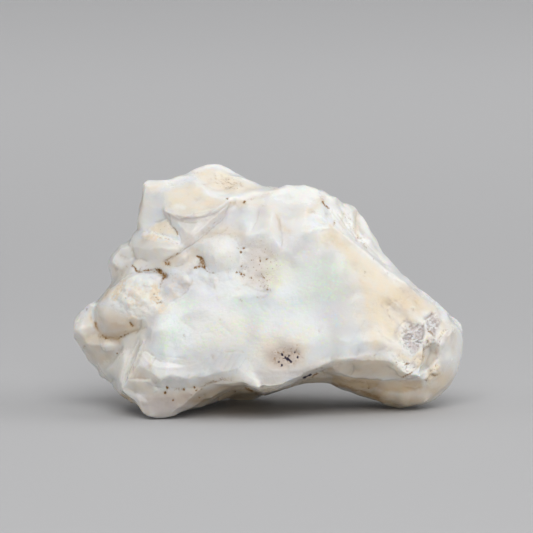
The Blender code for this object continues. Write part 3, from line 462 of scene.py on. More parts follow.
# stains and marks along lines: strength, half width in squares, line
strokes = tables({
    "lilac": """
    0.7 1.2 400,288 412,294; 0.7 1.2 402,291 414,298; 0.7 1.2 405,287 417,292; 0.6 1.2 394,300 401,306;
    0.6 1.1 388,304 396,312; 0.6 1.2 398,309 406,318; 0.5 1.1 384,312 391,320; 0.6 1.2 391,317 399,325;
    0.6 1.1 396,322 403,330; 0.5 1.1 387,297 392,303; 0.45 1.1 380,305 386,311; 0.6 1.1 436,308 439,314;
    0.6 1.1 436,345 441,338 448,331; 0.55 1.1 437,352 439,346 444,339""",
    "dark": """
    0.8 1.3 145,271 150,270.3 156,269.6; 1 2.4 156,270 160,270.5 163,273 167,276;
    0.85 1.6 166,276 164,279; 0.9 1.4 133,266 136,268 137.5,271; 0.75 1.2 137.5,271.5 141,270 142.5,267;
    0.7 1.1 138,272 142.5,272; 1 1.4 198,256 201,257 203,260 204.5,264 205.5,268;
    0.6 1 205.5,268 208,271 211,273 214.5,273; 0.95 1.4 195.5,268 199,266.5 203,267;
    0.9 1.6 167,262.8 170,264.5; 1 1.4 131.5,322.5 134,325.2; 0.9 1.5 322.5,202 324,205 325.5,206.5;
    0.75 1.2 325,206.5 328,208.5; 0.7 1.3 334.5,221 333.5,225; 0.9 1.1 312,376 314,374.5 317,373;
    0.7 1.1 361,386.5 363,386.5; 0.8 2 246,387 250,389 252,391; 0.8 1.4 286,388.5 291,388.8;
    0.55 1.1 120,338 120.5,343; 0.65 1.3 96,322 97,326 98.5,330; 0.5 1.1 92.5,315 92.5,319;
    0.6 1.6 138,407 142,412; 0.6 1.2 401,376 406,374 411,371; 0.55 1.1 404,363.5 406.5,362.5;
    0.5 1.2 427,329 430,332 434,336; 0.45 1.1 422.5,345 423,350 422.5,356""",
    "brown": """
    0.35 1.2 231,203 228,210 226,214; 0.45 1.2 222,218 217,222 213.5,224.5;
    0.35 1.1 210,228 204,232 200,236; 0.3 1.2 200,237 194,241.5 190,244;
    0.25 1.1 190,244 184,247.5 181,250 180,253; 0.6 2 179,254 174,257 168,259.5 165,262;
    0.6 2.6 166,262 170,263; 0.35 1.1 209,237.5 213,236; 0.35 1.1 217,234 220,232.5 224,230;
    0.55 1.2 169,222 172,226; 0.5 1.6 172,226 175,228.5; 0.75 1.1 175.5,229 177,232.5 178,235;
    0.6 2.4 201,259 201.5,266; 0.6 1.3 163,280 161.5,283 161.5,287; 0.5 1.1 155,293 157,297 160,299;
    0.65 1.1 158,303 160.5,301 163,301.5 164.5,303.5; 0.6 1.1 122,271 122.5,275;
    0.55 1.1 121,277 121,281; 0.5 1.3 127,266 128.5,268.5; 0.5 1.4 109,288 107,295;
    0.55 1.5 144.5,185 146,188; 0.5 1.8 142.5,195 141.5,206; 0.5 1.1 246,201 250,199 252,201;
    0.45 1 213,173 216,177; 0.4 1 216,178 219,181; 0.4 1 221,175 223,178; 0.5 1 214,182 218,184;
    0.5 1 218,184 220,187; 0.55 1 221,182 224,184.5; 0.6 1 224,187 228,189; 0.5 1 226,184 229,183;
    0.55 1 229,188 233,188.5; 0.55 1 231,184 234,186; 0.5 1 234,183 237,184; 0.45 1 236,180 240,182;
    0.45 1 239,176 241,179; 0.5 1 240,184 242,187; 0.45 1 222,179 225,181; 0.45 1 226,179 229,180;
    0.45 1.1 203,184 206,186; 0.55 1.2 192,172 195,173; 0.5 1.1 252,186.5 256,187;
    0.4 1 320.5,199 322.5,202; 0.45 1.1 311,213 315,210.5 318,207.5; 0.6 1.1 358,238.5 363,238;
    0.45 1.1 361,243 364,246 366.5,248.5; 0.12 1 277,216 279,222; 0.2 1.1 280,226 281,232 283,234;
    0.15 1 299,231 300,236; 0.15 1 363,321 359,327 356,331 353,337 350,343 348,348;
    0.22 1.2 373,355 378,352.5 383,350.5 389,349.5; 0.5 1.1 386.5,309.5 387,313 389,317;
    0.5 1.2 411,308 413.5,310; 0.3 1.3 409,372 414,369 418,364 421,359;
    0.4 1.5 422.5,344 423.5,350 423,357; 0.5 1.1 423,345 427,346; 0.6 1.1 427,371 428,376 425,380;
    0.7 1.1 428,367 430,372 432,375 436,374; 0.45 1 430,368 434,370; 0.45 1.3 403,331 406,328 409,326.5;
    0.35 1.2 403,321 408,322 411,325; 0.55 1.5 426,327 428,330 431,333 433,336;
    0.35 1.2 438,317 439,323 437,328; 0.3 1.1 409,338.5 414,339 418,337; 0.4 1.2 410,351 414,352 417,349;
    0.5 2 202,386 206,383 212,381 222,378 232,379; 0.55 1.3 202,388 204,384;
    0.7 2 292,386 312,385 330,384 338,386; 0.4 1.3 366,381 368,384 369,386; 0.45 1.1 337,362.5 342,362.5;
    0.5 3 100,335 106,337 114,338 120,339; 0.4 2 120,338 124,335 130,333; 0.5 1.1 85.5,345.5 84,348.5;
    0.4 2.4 170,386 176,388 184,388; 0.45 1.2 168,387 166.5,391; 0.75 3 340,384 352,389 366,393 378,398;
    0.45 2 342,379 360,381 372,384; 0.3 3 226,398 238,397 250,399; 0.5 1.6 120,398 126,401 134,407""",
    "ink": """
    1 1.5 303,377 306,375.5 310.5,373.5; 0.7 1 282,353 284.5,355.5; 1 1.6 286,357 288.5,358 290.5,360.5;
    0.6 1 280,362 282.5,363.5""",
    "tan": """
    0.55 3 306,214 314,208 322,198; 0.45 2.5 278,216 281,228 290,232; 0.5 3 141,200 141,210 139,226;
    0.55 3 112,283 108,294 102,300; 0.45 3 232,204 244,203 262,196 276,190;
    0.4 2 293,349 296,347 297.5,344; 0.4 2.5 268,358 276,361 279,362; 0.4 2 152,361 152,372 158,380;
    0.4 2 330,226 340,233 350,243 360,250; 0.4 1.6 344,214 340,222 346,230;
    0.35 2 262,250 272,256 268,250; 0.25 2 215,286 216,292 218,300; 0.2 1.6 219,300 226,295 238,288;
    0.9 2.6 96,324 99,330 103,334 111,338.5 120,338.5 125,334;
    0.3 4 275,351 284,349 295,352 297,358 288,363 277,361""",
    # the stroke at 183,223 is a painted highlight: a thin curved bright line under the lip
    "chalk": """
    0.9 1.4 332,225 345,237 356,246 370,256 382,267 394,277; 0.9 3 346,224 362,240 378,254 394,268
        410,281 428,292 446,308; 0.8 1.6 333,227 343,236 352,244 364,252 377,263 390,276 402,282;
    0.6 1.4 305,214 320,217 332,226; 0.9 1.5 126,312 130,316 138,318 146,317;
    0.5 1.4 158,313 155,330 151,346; 0.55 1.3 142,349 150,353 158,357 168,361;
    0.55 1.3 120,388 128,395 136,402 141,408; 0.6 1.2 145,340 139,356 133,370 130,376;
    0.55 1.2 140,340 132,358 126,374 123,388; 0.6 1.2 183,223 190,224.5 198,224 205,221;
    0.5 1.4 448,330 441,338 438,350 438,358; 0.45 1.3 402,384 414,387 424,384;
    0.35 1.3 384,381 396,381 404,384; 0.4 1.3 452,358 447,364 442,372; 0.6 1.3 152,372 158,378 166,386;
    0.6 1.3 141,347 145,341 147,344; 0.5 1.4 393,282 400,287 407,291; 0.6 1.3 397,327 403,325 409,323.5;
    0.6 1.3 402,334 408,332 414,334; 0.5 1.3 402,341 410,342 418,340; 0.4 1.2 248,372 254,378;
    0.4 1.2 256,369 262,377; 0.4 1.2 264,371 270,379; 0.3 1.2 226,358 220,368; 0.3 1.2 234,359 228,370;
    0.3 1.2 242,360 238,370""",
    "grey": """
    0.45 1.3 143,349.5 150,354.5 158,359 168,362 180,363; 0.35 1.3 183,320 188,324 195,329;
    0.5 1.3 220,323 225,328 231,331; 0.45 1.5 217,351 228,351 238,349 243,351;
    0.6 2.6 212,354 215,357 214,360; 0.5 1.2 326,235 332,229; 0.5 1.3 143,341 136,356 130,372;
    0.5 1.3 137,340 129,358 124,376; 0.4 1.3 392,302 398,306 404,312; 0.4 1.3 396,301 402,306 407,311;
    0.5 1.3 340,214 350,226 362,240 372,250; 0.5 1.3 368,252 380,262 392,274;
    0.5 1.2 352,236 362,246 368,252; 0.35 1.2 230,357 222,369; 0.35 1.2 238,358 233,369;
    0.35 1.3 202,337 204,343 203,347""",
    "cyan": """
    0.7 1.8 333,313 335,318 336,322 336.5,327; 0.4 3 240,285 246,289""",
})

# small round marks: strength, radius in squares, middle
dots = tables({
    "dark": """
    0.95 1.3 241.5,252.5; 0.8 1.2 243.5,248.5; 0.6 1.1 238.5,249; 0.9 1.2 260.5,261; 0.8 1.2 266.5,259.5;
    0.8 1.4 239,268; 0.6 1.2 241.5,266; 0.7 1.3 237,272; 0.6 1.2 240,272; 0.95 1.4 241.5,274;
    0.85 1.3 244.5,275; 0.6 1.1 251.5,278; 0.7 1.2 262.5,275.5; 0.75 1.2 264,277.5; 0.7 1.2 268,286;
    0.7 1.3 267.5,289; 0.9 1.5 244.5,202.5; 0.7 1.2 228,199.5; 0.6 1.2 226.5,228.8; 0.5 1.1 224,231.5;
    0.8 1.2 364,272; 0.6 1.1 359.5,279.5; 0.55 1.2 387,273; 0.6 1.2 322,325; 1 1.6 168.5,386.5;
    1 1.5 166.5,391; 0.9 1.4 174,399; 0.85 1.6 185,388; 0.95 1.2 195,385.5; 0.9 1.3 197,388.5;
    0.5 1.1 192.5,394; 0.65 1.3 200,396; 0.6 1.4 235.5,390.5; 0.9 1.3 368,387.5; 0.95 1.4 107,338;
    0.7 1.1 104,334.5; 0.65 1.1 112.5,336.5; 0.6 1 101.5,336.5; 0.75 1.2 122,336; 0.85 1.1 125.5,334;
    0.6 1 127.5,330.5; 0.75 1.3 87,309.5; 0.6 1.1 92.5,317; 0.6 1.1 118.5,353; 0.6 1.1 146,254;
    0.6 1.1 188,252; 0.45 1.1 350,219.5; 0.55 1.1 85.5,346; 0.6 1.2 271.5,366.5; 0.5 1.1 395,361.5""",
    "brown": """
    0.5 1.2 343,213; 0.45 1.1 345,217.5; 0.45 1.1 349,219; 0.4 1.1 341,212; 0.6 1.3 357.5,238;
    0.6 1.3 360.5,238; 0.5 1.1 363.5,237.5; 0.5 1.2 361.5,241.5; 0.55 1.2 364,244.5; 0.5 1.1 366,247;
    0.5 1.1 348.5,214; 0.5 1.2 336.5,223.5; 0.5 1.1 236.5,240.5; 0.35 1 235,243; 0.45 1 248,238;
    0.35 1.1 247,243.5; 0.4 1 245.5,251.5; 0.4 1 242,269; 0.5 1 243,277; 0.35 1 246,268; 0.5 1 260.5,258;
    0.5 1.1 265.5,267; 0.45 1 272.5,263; 0.45 1 263,282; 0.55 1.1 266,284.5; 0.4 1 262,286;
    0.65 1.2 265,287; 0.6 1.2 270.5,289.5; 0.45 1 271.5,285.5; 0.55 1.3 258,296.5; 0.5 1.2 240.5,300.5;
    0.5 1.1 245,308.5; 0.35 1 197.5,245.5; 0.65 1.3 185,334; 0.4 1.1 221,319; 0.5 1.1 254,323;
    0.4 1.2 268.5,323.5; 0.35 1.1 268.7,325.5; 0.4 1.2 306,317; 0.4 1.2 314,318; 0.4 1.1 318,330;
    0.45 1.2 308,255; 0.4 1.2 316,266; 0.35 1.2 301,262; 0.4 1.1 362,269.5; 0.4 1.1 363.5,276;
    0.3 1 346,294.5; 0.4 1.2 354,316; 0.4 1.2 363,321; 0.4 1.1 354.5,243.5; 0.4 1.1 345,217;
    0.45 1.1 318,206.5; 0.45 1.2 263,206; 0.45 1.2 171,205; 0.3 1.2 188,195; 0.35 1.2 194,213.5;
    0.45 1.1 147,230.5; 0.55 1.2 163.5,233.5; 0.4 1.2 166,226; 0.55 1.1 198.5,173; 0.35 1.1 202,175;
    0.35 1.1 197,177; 0.3 1 226,193; 0.3 1 222,195.5; 0.3 1 241,191.5; 0.35 1.1 350,351;
    0.35 1.2 347.5,348; 0.4 1 371.5,392; 0.4 1.2 364,396; 0.35 1.1 120.5,368; 0.25 1.1 118,376;
    0.35 1 139.5,331; 0.4 1 139.5,336.5; 0.4 1 123.5,314; 0.4 1.3 128,319; 0.3 1 137,312; 0.35 1 147,307;
    0.5 1 172,271; 0.45 1 176,274; 0.4 1 180,270; 0.5 1.2 269.5,357.5; 0.4 1.1 268,361; 0.5 1.2 276,361;
    0.5 1.2 297,344; 0.6 1.2 278,351.5; 0.6 1.1 291.5,354.5; 0.7 1.3 298.6,353.6; 0.6 1.2 295,359.4;
    0.5 1.1 286,363; 0.5 1.1 290,348.5; 0.6 1.2 274.5,357.6; 0.5 1.1 293.6,362.2; 0.5 1 301.5,356;
    0.6 1.2 283.6,351; 0.45 1 272,353; 0.55 1.1 296,348.6; 0.45 1.1 263,347.5; 0.3 1.1 248,357.5;
    0.45 1.2 316.5,367.5; 0.35 1.1 373,259; 0.35 1.1 382,265; 0.35 1.1 392,275; 0.35 1.1 342.5,234;
    0.45 1.2 302,376; 0.3 1.1 179.5,308.5; 0.45 1.2 215,288; 0.3 1.4 340.5,253; 0.3 1.2 339.5,244;
    0.3 1.3 354,274; 0.3 1.2 349,276; 0.5 1.1 127,297.5; 0.35 1 233,379; 0.45 1.1 222,378;
    0.4 1.1 148,266; 0.45 1.2 160,266""",
    "ink": """
    1 1.9 304.5,376.4; 1 1.7 309.6,374; 0.8 1.2 288.8,354.2; 0.8 1.3 283.4,358.4; 1 1.6 282,353.6;
    1 1.4 285.2,356; 1 2 287.5,357.6; 0.9 1.5 290.8,360.6; 0.7 1.2 281,358; 0.85 1.4 279.5,361;
    0.95 1.5 282,363.9; 0.85 1.4 294.3,351.2; 0.95 1.5 297.3,356; 0.7 1.1 299.6,351.8;
    0.6 0.9 284.2,360.2; 0.5 0.9 277,356.6""",
    "chalk": """
    1 1.4 274.5,352; 0.9 1.2 257.5,260; 0.6 1.2 241,256; 0.6 1.4 256,245; 0.8 1.4 385.5,347.5;
    0.7 1.5 190,265; 0.8 2 294,372; 0.7 1.6 285,376; 0.6 1.5 283.5,286""",
    "green": """
    0.9 2.4 184,303; 0.5 2 198,292; 0.4 1.8 201,297; 0.6 1.6 232,309; 0.4 2.2 228,304; 0.6 1.8 237,302;
    0.6 2 252,303; 0.7 1.8 258,318; 0.7 2.2 264,306; 0.6 2 272,268; 0.6 3 334,270; 0.4 3 328,276;
    0.5 2.5 333,281; 0.45 2.5 300,293; 0.5 2 308,302; 0.5 2 316,309; 0.6 2.5 318,337; 0.4 6 172,327;
    0.45 4 178,331; 0.9 1.8 172,379.5; 0.3 6 165,344; 0.4 1.8 290,280; 0.4 1.6 293,217; 0.4 1.8 261,236;
    0.3 2 247,222; 0.45 2.5 324,262; 0.4 2.5 338,288; 0.3 3 312,286; 0.25 8 344,268""",
    "lime": """
    0.6 1.6 284,260; 0.6 3 282,276; 0.5 2 288,270; 0.5 1.8 273,276; 0.4 2 295,242; 0.5 2.2 269,212;
    0.4 2 315,229; 0.3 2 303,228; 0.35 4 280,268; 0.5 1.8 299,217; 0.35 2 310,306; 0.3 2.5 294,322""",
    "violet": """
    0.5 1.8 210,310; 0.6 3.2 227.5,214; 0.45 1.6 284,267.5; 0.5 2.4 333,312; 0.35 4 240,306;
    0.35 5 300,286; 0.3 6 276,246; 0.3 5 312,294; 0.35 3 284,272.5; 0.3 6 322,300; 0.25 5 199,307;
    0.3 4 262,211""",
    "cyan": """
    0.8 2.2 336,324; 0.35 3 243,287""",
})

# relief: depth in mm, half width in squares, line
grooves = rows("""
    0.3 1.2 174,398.5 174,399.5; 0.3 1.3 184.5,388 185.5,388; 0.3 1.2 195,385 195,386;
    0.3 1.2 196.5,388.5 197.5,388.5; 0.25 1.1 192,394 193,394; 0.25 1.1 200,395.5 200,396.5;
    -0.22 2 279,218 281,230 281,244; -0.28 2 382,378.5 400,379 420,379; 0.2 1.2 222,352 218,358 214,364;
    0.16 1.1 228,352 223,360 219,366; 0.22 1.2 234,352 229,361 224,368; 0.16 1.1 240,354 235,362 230,370;
    0.2 1.2 246,357 241,365 236,372; 0.16 1.1 252,360 248,368 243,374; 0.14 1.1 210,356 206,362 200,366;
    0.14 1.2 262,366 272,371 284,373; 0.14 1.2 160,353 172,356 186,357; 0.12 1.1 176,362 190,363 202,360;
    0.55 2 145,271 150,270.5 157,270; 0.9 3 156,270 160,270.5 163,273 167,276;
    0.6 2.2 166,276 164,279.5 162,284; 0.55 2 133,266 136,268 138,271.5 142,271; 0.5 2.6 166,262 170,264;
    0.22 2.2 162,286 161,291 160,297 162,301; 0.3 1.8 169,222 173,227 178,235; 0.4 1.8 231,204 227,212
        220,220 210,228 200,237 190,244 181,250 177,255 166,261;
    0.75 2.4 199,256.5 202.5,259 204,264 204,267; 0.5 2.6 200,260 199,266;
    0.2 1.8 205.5,268 208,271 211,273 215,273; 0.55 3.4 95,320 98,330 102,335 108,338 118,339 126,335
        138,330 146,327; 0.5 2 131,322 134.5,325.5; 0.2 1.8 143,341 136,356 130,372 126,388;
    0.2 1.8 137,340 129,358 124,376 122,388; 0.16 1.8 149,336 142,350 138,362;
    0.2 1.8 143,349.5 150,354 158,358.5 168,361.5 180,362; 0.04 1.4 363,321 356,331 350,343 348,350;
    0.15 1.6 373,355 380,352 389,349.5; -0.3 2 333,227 343,236 352,244 364,252 377,263 390,276 402,282
        416,288 432,298 446,312; -0.2 1.6 305,214 320,217 333,227;
    -0.4 1.8 145,340 139,356 133,370 130,376; -0.35 1.6 140,340 132,358 126,374 123,388;
    -0.35 1.8 123,388.6 130,392 138.6,395.7 143,406 148,417;
    -0.3 2 143,351 148,360 156,365 170,367 186,365; -0.25 1.8 206,374 222,370 238,367 250,376 262,384
        280,385 293,381 310,373 327,366 343,357 360,355 384,351 393,354;
    -0.4 1.5 423.5,321 425,330 423,339 421,345; -0.45 1.6 166,211 173,215 180,219 188,217 196,213 212,211
        222,207 230,202; -0.35 1.6 167,213 172,222 177,231 181,240;
    -0.4 1.8 229,206 214,219 200,232 188,241 181,247; -0.3 1.6 143,236 152,233 168,238 181,243;
    -0.2 1.5 185,222 196,221 208,219; -0.25 1.5 403,334 410,331 416,334 422,333;
    -0.2 1.5 425,320 430,321 434,318; 0.32 1.4 326,206 330,213 334,222 341,232 353,241 366,250;
    0.4 1.4 338,214 346,226 358,240 372,254 388,268; 0.3 1.3 332,212 340,222 350,234 362,246;
    0.32 1.4 350,226 362,240 376,254 392,272; 0.3 3 357,211 356,220 356,232 359,239;
    0.05 1.8 272,204 277,217 281,231 292,232 302,231; 0.35 2.2 321,200 324,204 328,208.5;
    0.25 1.8 334.5,220 333.5,226; 0.2 2.4 212,353 214,358; 0.1 1.8 215,285 216,291 218,299;
    0.14 1.6 220,323 225,328 231,331; 0.14 1.6 217,351 228,351 238,349 243,351;
    0.1 1.6 183,320 188,324 195,329; 0.1 1.5 202,337 204,343 203,347; 0.2 2.2 118,354 112,361 107,368;
        0.18 1.8 152,366 152,372 158,379 166,386 180,387 200,386 222,379;
    0.08 2 332,372 345,374.5 360,377 380,379 416,379; 0.18 1.8 332,384 345,389 358,390 372,389.5;
    0.12 1.6 372,389 376,384 380,380; 0.14 1.5 366,381 368,385 371,392;
    0.35 1.8 303,377 306,375.5 310.5,373.5; 0.3 1.6 312,376 317,373; 0.2 1.8 243,203 248,201 254,199;
    0.2 2 131,240 134,250 133,262 124,278; 0.4 2 401,376 406,374 411,371 416,367 419,363 421,359;
    0.4 2 422.5,345 423.5,351 422.5,357; 0.3 1.8 403,331 406,327.5 410,326;
    0.3 1.6 403,321 408,322 411,325; 0.4 2 426,327 428,330 431,333 434,336;
    -0.55 1.3 404,333 410,331.5 416,329 421,326; -0.6 1.1 403,341 409,341 415,340 420,336;
    -0.35 1.3 408,349 413,349 417,346; -0.4 1.3 425,321 430,318 436,314;
    -0.45 1.3 429,329 434,325 439,320; -0.2 1.2 397,330 402,326 404,322;
    -0.2 1.2 394,334 399,331 403,328; -0.14 1.3 388,322 394,316 402,312;
    -0.14 1.3 400,300 408,305 416,312 421,318; -0.12 1.3 404,292 412,297 420,304;
    0.3 1.6 428,367 430,372 432,375 437,374; 0.3 1.6 427,371 428,376 425,381;
    0.16 1.6 386.5,309.5 387,313 389,317; 0.14 1.5 411,308 414,310; 0.25 1.5 404,363.5 407,362.5;
    0.16 1.6 441,349 446,342 449,334; 0.1 1.6 452,358 447,364 442,372;
    0.12 1.6 122,389 130,396 137,403 142,410; 0.3 1.2 241.5,252 241.5,253;
    0.25 1.2 260.5,258 260.5,261.5; 0.25 1.2 266,259.5 267,259.5; 0.3 1.3 240,272 242,274.5;
    0.3 1.4 282,354 285,356 288,358.5 290.5,360.5; 0.25 1.3 280,361 282,364; 0.25 1.3 297.5,355 297,357;
    0.3 1.2 168.5,386 168.5,387; 0.3 1.2 166.5,390.5 166.5,391.5""")

# steps: drop in mm, reach in squares, line, with the low ground on its right hand side
ledges = rows("""
    0.5 9 164,263 172,258 181,250 190,244 200,237 210,228 220,220 227,212 233,202;
    0.2 8 180,242 168,238 152,233 143,235;
    0.22 7 166,212 176,215 190,218 206,216 220,210 231,202;
    0.3 8 192,282 190,291 182,298 170,303;
    0.12 9 243,300 236,290 246,283 262,290 276,288;
    0.12 8 240,352 228,352 219,350 212,354;
    0.16 8 262,206 259,220 250,236;
    0.14 7 312,232 330,227 320,216 306,213;
    0.28 6 412,318 404,322 398,328 394,338;
    0.3 6 421,325 412,329 403,340;
    0.28 6 421,334 412,338 405,346;
    0.32 6 438,312 430,317 424,322;
    0.26 5 428,318 432,326 432,333;
    0.26 5 448,329 441,336 437,342;
    0.16 6 404,300 394,302 384,310;
    0.14 6 420,296 410,297 402,303;
    0.18 7 376,326 382,334 390,340 396,342;
    0.22 6 384,361 392,367 400,374 412,377;
    0.14 7 160,390 154,384 158,378;
    0.18 6 150,403 144,397 138,392;
    0.16 6 402,384 414,387 422,384""")

# bumps and dents: height in mm, radius in squares, middle
lumps = rows("""
    0.6 9 78,330; 0.6 10 404,399; 0.6 10 421,399; 0.5 9 388,398; 0.4 9 150,414; 0.22 6 122,297;
    0.28 6 131,303; 0.22 5 137,294; 0.2 5 128,289; 0.22 6 146,300; 0.26 6 150,284; 0.2 5 140,281;
    0.2 5 155,307; 0.25 6 172,287; 0.35 6 187,281; 0.2 5 178,296; 0.2 4 144,310; 0.15 4 118,305;
    0.2 5 158,281; -0.2 4 166,294; 0.22 5 205,276; 0.18 4 214,278; 0.2 4 196,270; 0.15 5 224,276;
    -0.25 4 190,272; 0.25 7 108,346; 0.12 6 100,356; 0.2 5 268,287; 0.15 4 244,273; -0.06 8 284,357;
    0.25 3 281,351; 0.2 3 290,364; -0.25 3 296,352; 0.2 3 275,353; 0.22 13 220,252; 0.12 5 433,370;
    0.1 3 426,377; 0.1 4 442,343; 0.1 3 440,352; 0.2 4 408,371; 0.2 4 416,362; 0.15 4 400,364;
    0.15 5 392,357; 0.25 5 346,207; 0.25 5 334,200; 0.15 6 368,240; 0.12 6 378,254; -0.15 4 214,356;
    0.15 4 247,252; -0.12 8 226,184; 0.15 5 116,256; 0.12 8 162,186; -0.15 7 157,200; 0.12 10 250,220;
    0.1 8 269,222; 0.12 8 178,378; -0.1 6 150,372; 0.15 6 86,312; 0.12 9 80,330; 0.15 4 428,341;
    0.12 4 442,332""")

# the outline brought out: across and up in mm, reach in squares, middle
nudges = rows("""
    -1.7 0 20 120,258; -0.9 0 20 143,214; -1.1 0.2 13 104,302; -0.7 0 14 73,330; 0.2 0.5 26 410,283;
    0.5 0 16 461,357; -0.5 0.4 10 148,183""")

# flat planes: lift in mm, slope across and down in mm a square, softness, outline
plates = rows("""
    -0.28 -0.03 -0.02 1.6 403,330 409,323.5 422,324 424,322 423,338 418,340 408,337;
    -0.28 -0.03 0.05 1.6 402,337 408,337 418,340 422,341 414,352.5 403,344;
    -0.28 -0.05 0 1.4 424,317.5 431.5,312.5 434,320 431,330 428,328 423.5,321;
    -0.28 0.06 -0.01 1.4 431.5,312.5 438,315 439,322.5 434,336.5 431,330 434,320;
    -0.45 0.01 -0.01 1.2 422.5,347 434,342 437.5,358 427,368 417,374 421.7,359;
    0.12 0 0.01 1 332,364 340,358.5 366,357.5 386,360 398,369 410,377 380,379 352,376 334,371;
    -0.2 0 -0.05 3 252,368 276,371 300,368 328,358 330,364 300,384 262,388;
    0.18 0.02 -0.01 1 139,352 146,350 156,356 152,364 146,366 138,360;
    0.1 0.01 -0.03 1 130,378 152,378 160,388 150,394 136,392 126,386;
    0.15 0 -0.01 1.5 102,343 110,341.5 117,344 116,350 104,350""")

stone = {
    "mergeNearer": 0.000002,        # metres
    "creaseAngle": 32.0,    # degrees, edges sharper than this stay crisp
    "crease": 0.75,
    "voxel": 0.00022,       # metres, the grid that the relief is cut on
    "triangles": 194000,
    "behind": 60000,        # triangles of those, on the side away from the camera
    "wander": 1.2,          # squares, how far the marks stray from their lines
    "zoneWander": 4.5,      # and how far the edges of the coloured patches do
    "zoneSoft": 2.5,        # squares, added to their softness
    "darkerDots": 1.12,     # how much wider the darkest dots are drawn
    "dotShape": (1.15, 0.95),
    "fitRounds": 3,
    "mostFit": 0.25,        # mm
    "calmRounds": 30,
    "calmAll": 0.25,        # how calm the stone is outside the calm places
    "planeRounds": 5,
    "planeReach": 5,
    "bends": (0.0015, 0.008),
    "edgeRounds": 30,
    "grooveShare": 0.55,
    "ledgeShare": 0.85,
    "lumpShare": 0.80,
    "footRounding": 0.6,    # mm, how far the edges round under at the table
    "feet": {-1: (-1.8, 0.55), 0: (0.0, 0.2), 1: (0.0, 0.2)},    # left, middle, right: shift and lift, mm
}


def pickOnly(piece):
    bpy.ops.object.select_all(action="DESELECT")
    piece.select_set(True)
    bpy.context.view_layer.objects.active = piece


def applyModifier(piece, kind, **settings):
    modifier = piece.modifiers.new(kind.title(), kind)
    for name, value in settings.items():
        setattr(modifier, name, value)
    pickOnly(piece)
    bpy.ops.object.modifier_apply(modifier=modifier.name)


def readMesh(piece):
    count = len(piece.data.vertices)
    places = np.empty(count * 3)
    piece.data.vertices.foreach_get("co", places)
    normals = np.empty(count * 3, np.float32)
    piece.data.vertex_normals.foreach_get("vector", normals)
    return places.reshape(-1, 3) * 1000, normals.reshape(-1, 3).astype(float)


def writeMesh(piece, places):
    piece.data.vertices.foreach_set("co", (places / 1000).ravel())
    piece.data.update()


def sheetPlaces(places):  # where places in mm fall on the sheet
    across = sheet["left"] + (places[:, 0] - sheet["middle"]) / sheet["square"]
    up = places[:, 2] * upwards[2] + places[:, 1] * upwards[1]
    return np.stack([across, sheet["down"] - up / sheet["square"]], axis=1)


def near(flat, line, reach):  # which of the places are in the box round a line
    ends = np.array(line, float)
    low, high = ends.min(0) - reach, ends.max(0) + reach
    return np.where(((flat > low) & (flat < high)).all(1))[0]


def strayedPlaces(places, far, cell=1.4):  # on the sheet, drifting by about that many squares
    drift = np.stack([roughNoise(places, cell, 5, 4), roughNoise(places, cell, 15, 4)], axis=1)
    return sheetPlaces(places) + far * drift


def zoneMask(flat, name, cloudy=None):  # given cloudy places, the softer zones drift with them
    mask = np.zeros(len(flat))
    for strength, soft, outline in zones.get(name, []):
        drifts = cloudy is not None and soft > 2
        inside = insideOf(cloudy if drifts else flat, outline, soft + stone["zoneSoft"] * drifts)
        mask = np.maximum(mask, strength * inside)
    return mask


def strokeMask(flat, name, faint):
    mask = np.zeros(len(flat))
    for strength, half, line in strokes.get(name, []):
        spots = near(flat, line, half * 3)
        away = lineDistance(flat[spots], line)[0]
        mask[spots] = np.maximum(mask[spots], strength * faint[spots] * np.exp(-(away / half) ** 2))
    return mask


def dotMask(flat, name):
    mask = np.zeros(len(flat))
    for strength, radius, (middle,) in dots.get(name, []):
        radius = radius * (stone["darkerDots"] if name in ("dark", "ink") else 1.0)
        spots = near(flat, [middle], radius * 2)
        away = np.linalg.norm((flat[spots] - middle) * stone["dotShape"], axis=1)
        mask[spots] = np.maximum(mask[spots], strength * smooth(radius * 1.4, radius * 0.3, away))
    return mask


# the mean place of each point's neighbours
def levelled(piece, places):
    ends = np.empty(len(piece.data.edges) * 2, np.int64)
    piece.data.edges.foreach_get("vertices", ends)
    ends = ends.reshape(-1, 2)
    count = np.bincount(ends.ravel(), minlength=len(places))[:, None]
    total = np.zeros_like(places)
    for axis in range(3):
        total[:, axis] = (np.bincount(ends[:, 0], weights=places[ends[:, 1], axis], minlength=len(places))
                          + np.bincount(ends[:, 1], weights=places[ends[:, 0], axis], minlength=len(places)))
    return total / np.maximum(count, 1)


def calmDown(piece):
    places, normals = readMesh(piece)
    calm = zoneMask(sheetPlaces(places), "calm") * smooth(-0.3, 0.0, normals @ towards)
    calm = np.maximum(calm, stone["calmAll"])[:, None]
    for _ in range(stone["calmRounds"]):
        places = places + calm * (levelled(piece, places) - places)
    writeMesh(piece, places)


